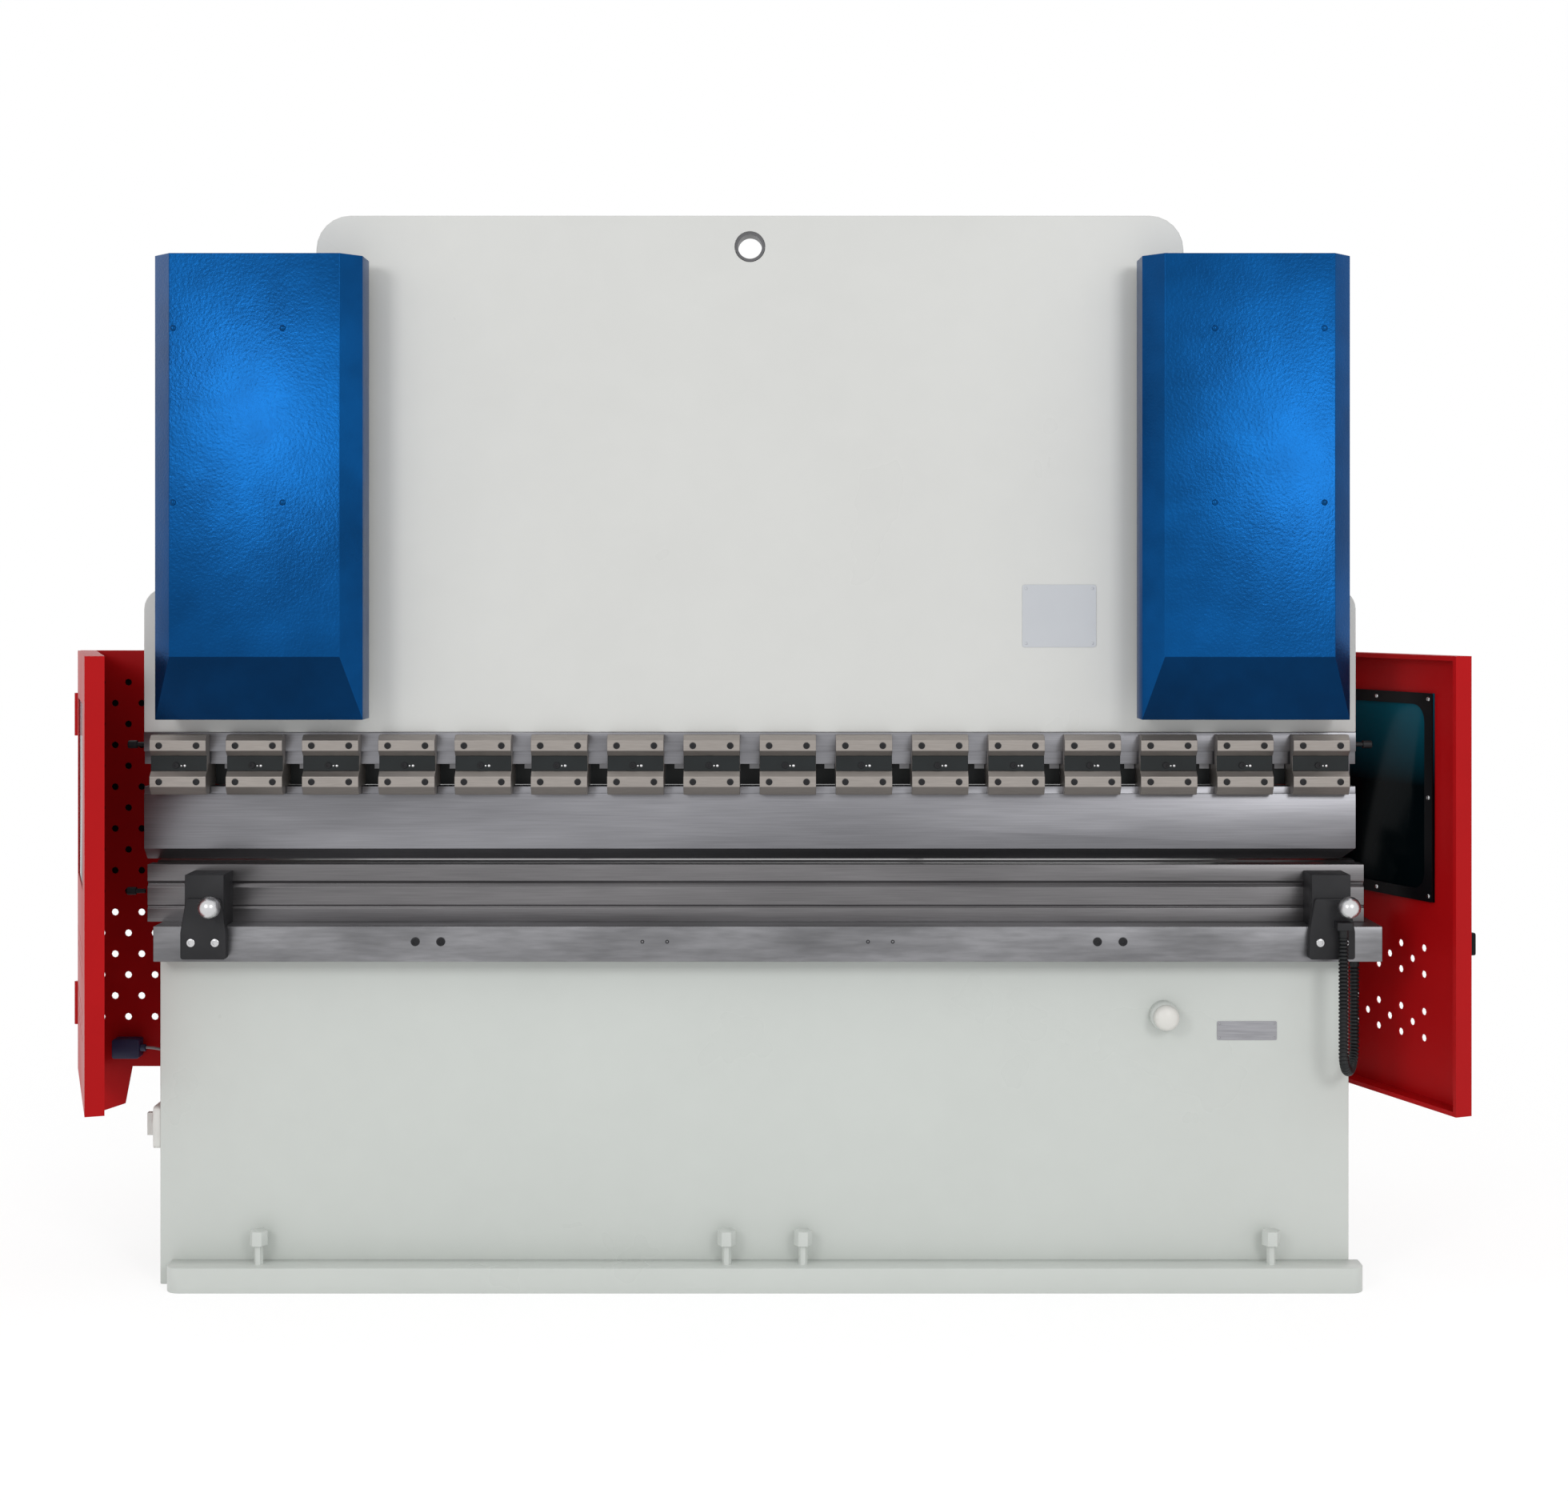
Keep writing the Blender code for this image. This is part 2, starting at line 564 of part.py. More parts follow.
def build_cylinders():
    """Hydraulic cylinders with rear mounting pads and cover brackets, their rods and folded covers."""
    bracket_half = COVER_SCREW_SPREAD / 2 + 0.004
    for side, sign in SIDES:
        x = sign * COLUMN_X
        low = CYLINDER_LOW
        high = low + CYLINDER_LENGTH
        r = CYLINDER_RADIUS
        profile = [(r * 0.8, low), (r, low + 0.015), (r, low + 0.09), (r * 0.93, low + 0.10),
                   (r * 0.93, high - 0.10), (r, high - 0.09), (r, high - 0.015), (r * 0.8, high)]
        body = turned(side + "_cylinder", profile, "Z", (x, 0), IVORY, 32)
        pad = box(side + "_pad_join", (x - COLUMN_THICK / 2, r / 2, low + 0.06),
                  (x + COLUMN_THICK / 2, POCKET_FRONT - GAP, high - 0.06), IVORY)
        join(body, pad)
        for k, height in enumerate(COVER_SCREW_HEIGHTS):
            strap_face = COVER_FACE + COVER_SHEET + GAP
            strap = box(f"{side}_strap_join_{k}", (x - bracket_half, strap_face, height - COVER_STRAP / 2),
                        (x + bracket_half, -r / 2, height + COVER_STRAP / 2), IVORY)
            join(body, strap)
        bore = rod(side + "_cylinder_bore", (x, 0), ROD_RADIUS + RUN, "Z", low - 0.1,
                   low + ROD_INSIDE + STROKE + BORE_SPARE, STEEL)
        cut(body, bore)
        rod(side + "_piston_rod", (x, 0), ROD_RADIUS, "Z", SHOULDER_TOP + GAP, low + ROD_INSIDE, CHROME)
        build_cover(side, sign)


def build_cover(side, sign):
    """A folded sheet cover: side flanges, chamfers, a flat front that slopes back at the bottom."""
    inner = COLUMN_X - COVER_REACH_IN[side]
    outer = inner + COVER_WIDTH
    fold = COVER_REAR - COVER_FLANGE
    section = [(inner, COVER_REAR), (inner, fold), (inner + COVER_CHAMFER, COVER_FACE),
               (outer - COVER_CHAMFER, COVER_FACE), (outer, fold), (outer, COVER_REAR)]

    def build(bm):
        rows = [[bm.verts.new((sign * x, y, z)) for x, y in section] for z in (COVER_TOP, COVER_SLOPE_TOP)]
        foot = [bm.verts.new((sign * section[i][0], section[i][1], COVER_BOTTOM)) for i in (0, 1, 4, 5)]
        top, bend = rows
        bm.faces.new(top)
        for i in range(5):
            bm.faces.new((top[i], top[i + 1], bend[i + 1], bend[i]))
        bm.faces.new((bend[0], bend[1], foot[1], foot[0]))
        bm.faces.new((bend[1], bend[2], foot[1]))
        bm.faces.new((bend[2], bend[3], foot[2], foot[1]))
        bm.faces.new((bend[3], bend[4], foot[2]))
        bm.faces.new((bend[4], bend[5], foot[3], foot[2]))
    cover = add(side + "_cylinder_cover", build, BLUE)
    if cover.data.polygons[3].normal.y > 0:
        cover.data.flip_normals()
    sheet = cover.modifiers.new("sheet", "SOLIDIFY")
    sheet.thickness = COVER_SHEET
    sheet.offset = -1
    sheet.use_even_offset = True


def build_torsion_shaft():
    """The synchronising shaft: forked arms on it take the pins on the back of the ram."""
    end = COLUMN_OUTER + 0.050
    shaft = rod("torsion_shaft", (TORSION_Y, TORSION_Z), TORSION_RADIUS, "X", -end, end, STEEL)
    slot = TORSION_PIN_RADIUS + TORSION_SLOT_PLAY
    width = slot + 0.020
    reach = math.hypot(TORSION_REACH, STROKE / 2)
    slot_end = TORSION_REACH - TORSION_PIN_RADIUS - TORSION_SLOT_PLAY
    tip = reach + TORSION_PIN_RADIUS + TORSION_SLOT_PLAY
    arm = [(-0.055, -width), (tip, -width), (tip, -slot), (slot_end, -slot), (slot_end, slot), (tip, slot),
           (tip, width), (-0.055, width)]
    droop = math.atan2(STROKE / 2, TORSION_REACH)
    turned_arm = [(TORSION_Y - a * math.cos(droop) - b * math.sin(droop),
                   TORSION_Z - a * math.sin(droop) + b * math.cos(droop)) for a, b in arm]
    for side, sign in SIDES:
        near = TORSION_ARM_X + RUN
        far = TORSION_ARM_X + TORSION_ARM_THICK
        join(shaft, prism(side + "_arm_join", turned_arm, "X", sign * near, sign * far, STEEL))


def build_back_gauge():
    """Gauge rails with end blocks and screws, and the beam that carries the stop fingers."""
    front = BED_REAR + GAP
    block_top = GAUGE_RAIL_HIGH + GAUGE_BLOCK_HEIGHT
    screw_z = GAUGE_RAIL_HIGH + GAUGE_SCREW_LIFT
    first = front + GAUGE_BLOCK
    last = GAUGE_RAIL_END - GAUGE_BLOCK
    section = [(front, GAUGE_RAIL_LOW), (GAUGE_RAIL_END, GAUGE_RAIL_LOW), (GAUGE_RAIL_END, block_top),
               (last, block_top), (last, GAUGE_RAIL_HIGH), (first, GAUGE_RAIL_HIGH), (first, block_top),
               (front, block_top)]
    rear = CARRIAGE_FRONT + CARRIAGE_DEPTH
    beam_half = GAUGE_BEAM_LENGTH / 2
    beam_low = DIE_TOP - GAUGE_BEAM_DROP
    beam_high = beam_low + GAUGE_BEAM_HEIGHT
    inset = CARRIAGE_DEPTH / 5
    gauge = box("back_gauge", (-beam_half, CARRIAGE_FRONT + inset, beam_low),
                (beam_half, rear - inset, beam_high), IVORY)
    finger_top = DIE_TOP + FINGER_LIFT
    lap = GAUGE_BEAM_HEIGHT / 3
    for side, sign in SIDES:
        x = sign * GAUGE_X
        prism(side + "_gauge_rail", section, "X", x - GAUGE_RAIL_WIDTH / 2, x + GAUGE_RAIL_WIDTH / 2, STEEL)
        rod(side + "_gauge_screw", (x, screw_z), GAUGE_SCREW_RADIUS, "Y", first + RUN, last - RUN, STEEL, 16)
        column = box(side + "_column_join", (x - CARRIAGE_WIDTH / 2, CARRIAGE_FRONT, GAUGE_RAIL_HIGH + GAP),
                     (x + CARRIAGE_WIDTH / 2, rear, beam_low + lap), IVORY)
        nut = rod(side + "_nut_cut", (x, screw_z), GAUGE_SCREW_RADIUS + RUN, "Y", first, last, STEEL, 16)
        finger_x = sign * FINGER_X
        post_half = 0.75 * FINGER_WIDTH
        post = box(side + "_post_join", (finger_x - post_half, CARRIAGE_FRONT + 1.5 * inset, beam_high - lap),
                   (finger_x + post_half, rear - 1.5 * inset, finger_top), STEEL)
        finger = box(side + "_finger_join", (finger_x - FINGER_WIDTH / 2, DIE_SIZE / 2 + FINGER_STAND_OFF,
                                             finger_top - 1.5 * FINGER_LIFT),
                     (finger_x + FINGER_WIDTH / 2, rear - 2 * inset, finger_top - FINGER_LIFT / 4), STEEL)
        join(gauge, column, post, finger)
        cut(gauge, nut)


def hole_field(name, columns, rows, plane, start, end, parent=None):
    """Round cutters on a staggered grid; every second row is shifted by half a step."""
    def build(bm):
        for number, height in enumerate(rows):
            shift = (columns[1] - columns[0]) / 2 if number % 2 else 0
            for across in columns[:len(columns) - number % 2]:
                fill_prism(bm, circle((across + shift, height), HOLE_RADIUS, HOLE_SIDES), plane, start, end)
    return add(name, build, RED, parent)


def spread(first, last, count):
    return [first + (last - first) * k / (count - 1) for k in range(count)]


def build_guards():
    """Fixed panels on the side frames and the hinged doors with their windows."""
    left_edge = LEFT_HINGE_X + KNUCKLE_RADIUS + RUN
    near_frame = -COLUMN_OUTER - GAP
    y0 = GUARD_HINGE_Y
    y1 = y0 + PANEL_SHEET
    tab_left = LEFT_HINGE_X + TAB_START
    tab_right = tab_left + TAB_WIDTH
    outline = [(left_edge, GUARD_LOW), (tab_left, GUARD_LOW), (tab_left, GUARD_LOW - TAB_LENGTH),
               (tab_right - 0.25 * TAB_WIDTH, GUARD_LOW - 0.84 * TAB_LENGTH), (tab_right, GUARD_LOW),
               (near_frame, GUARD_LOW), (near_frame, GUARD_HIGH), (left_edge, GUARD_HIGH)]
    panel = prism("left_guard_panel", outline, "Y", y0, y1, RED)
    flange = box("left_flange_join", (near_frame - PANEL_SHEET, y1 - PANEL_SHEET / 2, GUARD_LOW),
                 (near_frame, y0 + 0.060, GUARD_HIGH), RED)
    join(panel, flange)
    columns = spread(left_edge + PANEL_HOLE_INSETS[0], near_frame - PANEL_HOLE_INSETS[1], 6)
    rows = spread(GUARD_LOW + PANEL_HOLE_MARGINS[0], GUARD_HIGH - PANEL_HOLE_MARGINS[1], 17)
    cut(panel, hole_field("left_panel_holes", columns, rows, "Y", y0 - PANEL_SHEET, y1 + PANEL_SHEET))

    right_edge = RIGHT_HINGE_X - KNUCKLE_RADIUS - RUN
    post = box("right_guard_panel", (COLUMN_OUTER + GAP, y0, GUARD_LOW), (right_edge, y1, GUARD_HIGH), RED)
    lip = box("right_flange_join", (COLUMN_OUTER + GAP, y1 - PANEL_SHEET / 2, GUARD_LOW),
              (COLUMN_OUTER + GAP + PANEL_SHEET, y0 + 0.060, GUARD_HIGH), RED)
    join(post, lip)
    build_door("left", LEFT_HINGE_X, LEFT_DOOR_ANGLE, 1)
    build_door("right", RIGHT_HINGE_X, RIGHT_DOOR_ANGLE, -1)


def build_door(side, hinge_x, angle, inward):
    """A sheet pan door drawn along -Y from its hinge line; inward is the side its flanges face."""
    hinge = bpy.data.objects.new(side + "_hinge_axis", None)
    bpy.context.scene.collection.objects.link(hinge)
    hinge.matrix_world = Matrix.Translation((hinge_x, GUARD_HINGE_Y, 0)) @ Matrix.Rotation(angle, 4, "Z")

    def span(v0, v1):
        return sorted((inward * v0, inward * v1))

    flange = span(0, DOOR_FLANGE)
    door = box(side + "_guard_door", (flange[0], -DOOR_WIDTH, GUARD_LOW),
               (flange[1], -DOOR_START, GUARD_HIGH), RED, hinge)
    pocket = span(DOOR_SHEET, 2 * DOOR_FLANGE)
    edge = 0.012
    cut(door, box(side + "_pan_cut", (pocket[0], -DOOR_WIDTH + edge, GUARD_LOW + edge),
                  (pocket[1], -DOOR_START - edge, GUARD_HIGH - edge), RED, hinge))
    through = span(-DOOR_FLANGE, DOOR_FLANGE)
    cut(door, box(side + "_window_cut", (through[0], -WINDOW_END + WINDOW_LAP, WINDOW_LOW + WINDOW_LAP),
                  (through[1], -WINDOW_START - WINDOW_LAP, WINDOW_HIGH - WINDOW_LAP), RED, hinge))
    columns = spread(-DOOR_WIDTH + DOOR_HOLE_MARGINS[0], -DOOR_START - DOOR_HOLE_MARGINS[1], 5)
    for number, lowest in enumerate(DOOR_HOLE_LOWS):
        rows = spread(lowest, lowest + 2 * DOOR_HOLE_ROW_PITCH, 3)
        cut(door, hole_field(f"{side}_door_holes_{number}", columns, rows, "X", *through, hinge))
    leaf = span(0.002, 0.008)
    for number, height in enumerate((GUARD_LOW + 0.18, GUARD_HIGH - 0.18)):
        knuckle = rod(f"{side}_knuckle_join_{number}", (0, 0), KNUCKLE_RADIUS, "Z",
                      height - KNUCKLE_LENGTH / 2, height + KNUCKLE_LENGTH / 2, RED, 12, hinge)
        strap = box(f"{side}_leaf_join_{number}", (leaf[0], -DOOR_START - edge / 2, height - KNUCKLE_LENGTH / 2),
                    (leaf[1], -KNUCKLE_RADIUS / 2, height + KNUCKLE_LENGTH / 2), RED, hinge)
        join(door, strap, knuckle)
    pane = span(DOOR_SHEET + GAP, DOOR_SHEET + GAP + PANE_THICK)
    box(side + "_guard_window", (pane[0], -WINDOW_END, WINDOW_LOW),
        (pane[1], -WINDOW_START, WINDOW_HIGH), TINT, hinge)


def build_die_clamps():
    """Brackets on the rail that press the die, with ball-headed clamping spindles."""
    plate_rear = RAIL_FRONT - GAP
    plate_front = plate_rear - DIE_CLAMP_THICK
    low = BED_HEIGHT + 0.010
    for side, x in DIE_CLAMP_X.items():
        outline = [(x - DIE_CLAMP_HALF, low), (x + DIE_CLAMP_HALF, low), (x + DIE_CLAMP_HALF, low + 0.070),
                   (x + DIE_CLAMP_TOP_HALF, RAIL_TOP + 0.075), (x - DIE_CLAMP_TOP_HALF, RAIL_TOP + 0.075),
                   (x - DIE_CLAMP_HALF, low + 0.070)]
        outline = rounded(outline, [DIE_CLAMP_RADIUS] * 6, 2)
        clamp = prism(side + "_die_clamp", outline, "Y", plate_front, plate_rear, BLACK)
        shoe = box(side + "_shoe_join", (x - 0.050, plate_rear - DIE_CLAMP_THICK / 2, RAIL_TOP + GAP),
                   (x + 0.050, -DIE_SIZE / 2 - GAP, DIE_TOP - 0.015), BLACK)
        join(clamp, shoe)
        knob = (x + KNOB_OFFSET, KNOB_HEIGHT)
        seat = plate_front + SPINDLE_DEPTH
        cut(clamp, rod(side + "_spindle_cut", knob, SPINDLE_RADIUS + RUN, "Y", plate_front - 0.02,
                       seat + RUN, BLACK, 16))
        middle = plate_front - KNOB_STAND_OFF
        profile = [(SPINDLE_RADIUS, seat)]
        neck = math.asin(SPINDLE_RADIUS / KNOB_RADIUS)
        for k in range(9):
            swing = neck + (math.pi - neck) * k / 8
            radius = KNOB_RADIUS * math.sin(swing) if k < 8 else 0
            profile.append((radius, middle + KNOB_RADIUS * math.cos(swing)))
        turned(side + "_clamp_knob", profile, "Y", knob, CHROME, 16)


def build_controls():
    """Isolator switch on the bed's left end and the palm button on its front."""
    wall = BED_LEFT - GAP
    face = wall - SWITCH_DEPTH
    half = SWITCH_SIZE / 2
    middle_y = (BED_FRONT + BED_REAR) / 2
    plate = rounded([(middle_y - half, SWITCH_HEIGHT - half), (middle_y + half, SWITCH_HEIGHT - half),
                     (middle_y + half, SWITCH_HEIGHT + half), (middle_y - half, SWITCH_HEIGHT + half)],
                    [0.012] * 4, 3)
    prism("switch_base", plate, "X", face, wall, GREY)
    centre = (middle_y, SWITCH_HEIGHT)
    r = SWITCH_KNOB_RADIUS
    profile = [(r, face - GAP), (r, face - 0.010), (r * 0.9, face - 0.012), (0, face - 0.012)]
    knob = turned("switch_knob", profile, "X", centre, GREY)
    join(knob, box("switch_grip_join", (face - 0.028, middle_y - r * 0.25, SWITCH_HEIGHT - r * 0.9),
                   (face - 0.008, middle_y + r * 0.25, SWITCH_HEIGHT + r * 0.9), GREY))

    place_at = (BUTTON_X, BUTTON_HEIGHT)
    wall = BED_FRONT - GAP
    front = wall - COLLAR_DEPTH
    profile = [(COLLAR_RADIUS, wall), (COLLAR_RADIUS, front + 0.006), (COLLAR_RADIUS - 0.006, front)]
    collar = turned("button_collar", profile, "Y", place_at, GREY)
    cut(collar, rod("stem_cut", place_at, STEM_RADIUS + RUN, "Y", front - 0.02, wall - 0.006, GREY))
    r = BUTTON_RADIUS
    cap = front - BUTTON_TRAVEL - RUN
    stem_end = wall - 0.006 - BUTTON_TRAVEL - RUN
    profile = [(STEM_RADIUS, stem_end), (STEM_RADIUS, cap), (r, cap), (r, cap - 0.012)]
    for step in (1, 2, 3):
        swing = step * math.pi / 8
        profile.append((r * math.cos(swing), cap - 0.012 - 0.016 * math.sin(swing)))
    profile += [(0, cap - 0.028)]
    turned("palm_button", profile, "Y", place_at, IVORY)


def smooth_route(points, spacing):
    """Points at about even steps on a Catmull-Rom curve through the route's points."""
    ends = [2 * Vector(points[0]) - Vector(points[1]), 2 * Vector(points[-1]) - Vector(points[-2])]
    knots = [ends[0]] + [Vector(p) for p in points] + [ends[1]]
    route = []
    for a, b, c, d in zip(knots, knots[1:], knots[2:], knots[3:]):
        steps = max(1, round((c - b).length / spacing))
        for k in range(steps):
            t = k / steps
            route.append(0.5 * (2 * b + (c - a) * t + (2 * a - 5 * b + 4 * c - d) * t * t
                                + (3 * b - a - 3 * c + d) * t ** 3))
    return route + [Vector(points[-1])]


def tube(name, points, radii, resolution, material):
    """A capped curve tube; each point has its own radius."""
    curve = bpy.data.curves.new(name, "CURVE")
    curve.dimensions = "3D"
    curve.bevel_depth = 1.0
    curve.bevel_resolution = resolution
    curve.use_fill_caps = True
    spline = curve.splines.new("POLY")
    spline.points.add(len(points) - 1)
    for knot, point, radius in zip(spline.points, points, radii):
        knot.co = (*point, 1.0)
        knot.radius = radius
    curve.materials.append(material)
    thing = bpy.data.objects.new(name, curve)
    bpy.context.scene.collection.objects.link(thing)
    return thing


def hose(name, points, radii, bore, side, material, steps=10):
    """A hollow tube along points in one plane whose normal is side; each point has its own radius."""
    side = side.normalized()
    frames = []
    for i, point in enumerate(points):
        ahead = points[min(i + 1, len(points) - 1)] - points[max(i - 1, 0)]
        frames.append((point, ahead.normalized().cross(side)))

    def ring(bm, frame, radius):
        point, up = frame
        return [bm.verts.new(point + (side * a + up * b)) for a, b in circle((0, 0), radius, steps)]

    def build(bm):
        outer = [ring(bm, frame, radius) for frame, radius in zip(frames, radii)]
        sparse = frames[:-1:4] + [frames[-1]]
        inner = [ring(bm, frame, bore) for frame in sparse]
        loop = outer + inner[::-1] + outer[:1]
        for one, two in zip(loop, loop[1:]):
            for i in range(steps):
                j = (i + 1) % steps
                bm.faces.new((one[i], one[j], two[j], two[i]))
    thing = add(name, build, material)
    thing.data.shade_smooth()
    return thing


def build_cords():
    """The ribbed conduit that hangs in a U at the right end, and the interlock switch with its lead."""
    clip_x = DIE_CLAMP_X["right"] + CONDUIT_CLIP_OFFSET
    plate_front = RAIL_FRONT - GAP - DIE_CLAMP_THICK
    near_y = plate_front - 0.022
    clip_low = KNOB_HEIGHT - KNOB_RADIUS - 0.032
    clip = box("conduit_clip_join", (clip_x - 0.020, near_y - 0.020, clip_low),
               (clip_x + 0.020, plate_front + 0.010, clip_low + 0.020), BLACK)
    join(bpy.data.objects["right_die_clamp"], clip)
    far_x = RAIL_RIGHT - CONDUIT_END_INSET
    far_y = CONDUIT_END_Y
    span = Vector((far_x - clip_x, far_y - near_y, 0))
    bend = span.length / 2
    low = CONDUIT_LOW + bend
    start = Vector((clip_x, near_y, clip_low - GAP))
    end = Vector((far_x, far_y, BED_HEIGHT - GAP))
    middle = Vector((clip_x, near_y, low)) + span / 2
    drop = start.z - low
    length = drop + math.pi * bend + end.z - low
    ribs = round(length / CONDUIT_RIB_PITCH)

    def along(s):
        """The point a distance s down the front run, round the half circle and up the rear run."""
        if s < drop:
            return start - Vector((0, 0, s))
        turn = (s - drop) / bend
        if turn < math.pi:
            return middle - span / 2 * math.cos(turn) - Vector((0, 0, bend * math.sin(turn)))
        return end - Vector((0, 0, length - s))

    collar = 2 * CONDUIT_RADIUS
    places = [0.0, collar]
    radii = [CONDUIT_RADIUS, CONDUIT_RADIUS]
    inner_length = length - 2 * collar
    for k in range(ribs):
        for part, radius in ((0.25, CONDUIT_RADIUS), (0.75, CONDUIT_RADIUS - CONDUIT_RIB)):
            places.append(collar + inner_length * (k + part) / ribs)
            radii.append(radius)
    places += [length - collar, length]
    radii += [CONDUIT_RADIUS, CONDUIT_RADIUS]
    hose("conduit", [along(s) for s in places], radii, CONDUIT_BORE, span.cross(Vector((0, 0, 1))), BLACK)

    back = GUARD_HINGE_Y - GAP
    x0, x1, z0, z1 = LEFT_HINGE_X + 0.110, LEFT_HINGE_X + 0.186, GUARD_LOW + 0.030, GUARD_LOW + 0.084
    shell = rounded([(x0, z0), (x1, z0), (x1, z1), (x0, z1)], [0.006] * 4, 2)
    switch = prism("interlock_switch", shell, "Y", back - 0.046, back, NAVY)
    gland = (back - 0.023, (z0 + z1) / 2)
    join(switch, rod("gland_join", gland, 0.010, "X", x1 - 0.010, x1 + 0.014, NAVY, 12))
    exit_x = x1 + 0.014 + GAP
    frame_x = -COLUMN_OUTER - GAP
    y, z = gland
    route = [(exit_x, y, z), (exit_x + 0.03, y, z - 0.001), (exit_x + 0.11, y, z - 0.022),
             (exit_x + 0.20, y, z - 0.026), (frame_x - 0.06, y, z - 0.006), (frame_x, y, z)]
    points = smooth_route(route, 2.5 * 2 * CABLE_RADIUS)
    tube("interlock_cable", points, [CABLE_RADIUS] * len(points), 2, GREY)


build_ram()
build_punch_line()
build_bed()
build_side_frames()
build_cylinders()
build_torsion_shaft()
build_back_gauge()
build_guards()
build_die_clamps()
build_controls()
build_cords()
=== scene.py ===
"""Press brake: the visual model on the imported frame. Metres, +X right, +Y to the rear, +Z up.

New pieces are grids of points P(i, j), worked out as whole arrays; each rides on the body that carries it.
"""
import math

import bmesh
import bpy
import numpy as np
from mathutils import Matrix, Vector


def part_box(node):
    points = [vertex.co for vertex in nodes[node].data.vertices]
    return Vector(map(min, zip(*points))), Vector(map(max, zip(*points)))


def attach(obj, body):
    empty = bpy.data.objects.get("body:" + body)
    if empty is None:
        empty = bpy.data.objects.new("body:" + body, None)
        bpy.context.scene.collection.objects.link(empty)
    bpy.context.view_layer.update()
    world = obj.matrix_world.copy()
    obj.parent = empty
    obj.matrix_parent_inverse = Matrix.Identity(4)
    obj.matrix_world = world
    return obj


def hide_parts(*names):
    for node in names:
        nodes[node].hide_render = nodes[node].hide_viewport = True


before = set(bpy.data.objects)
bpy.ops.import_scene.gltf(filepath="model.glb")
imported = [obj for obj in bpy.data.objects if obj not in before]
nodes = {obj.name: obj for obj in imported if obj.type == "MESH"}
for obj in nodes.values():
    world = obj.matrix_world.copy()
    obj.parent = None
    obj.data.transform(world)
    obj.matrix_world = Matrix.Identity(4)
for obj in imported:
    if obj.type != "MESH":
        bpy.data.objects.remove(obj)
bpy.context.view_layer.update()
scene = bpy.context.scene
scene.view_settings.view_transform = "Standard"

# Camera: a long lens that looks straight at the front, so that uprights stay upright.
# Its horizon lies above the middle of the picture, so the frame is shifted down instead of tilted.
PICTURE = (1960, 1876)
EYE = (0.090, -5.935, 1.804)
FOCAL_PIXELS = 2793.6
HORIZON_ROW = 745
SENSOR = 36
camera = bpy.data.objects.new("camera", bpy.data.cameras.new("camera"))
scene.collection.objects.link(camera)
camera.location = EYE
camera.rotation_euler = (math.pi / 2, 0, 0)
camera.data.sensor_width = SENSOR
camera.data.lens = SENSOR * FOCAL_PIXELS / PICTURE[0]
camera.data.shift_y = (HORIZON_ROW - PICTURE[1] / 2) / PICTURE[0]
scene.camera = camera
scene.render.resolution_x, scene.render.resolution_y = PICTURE


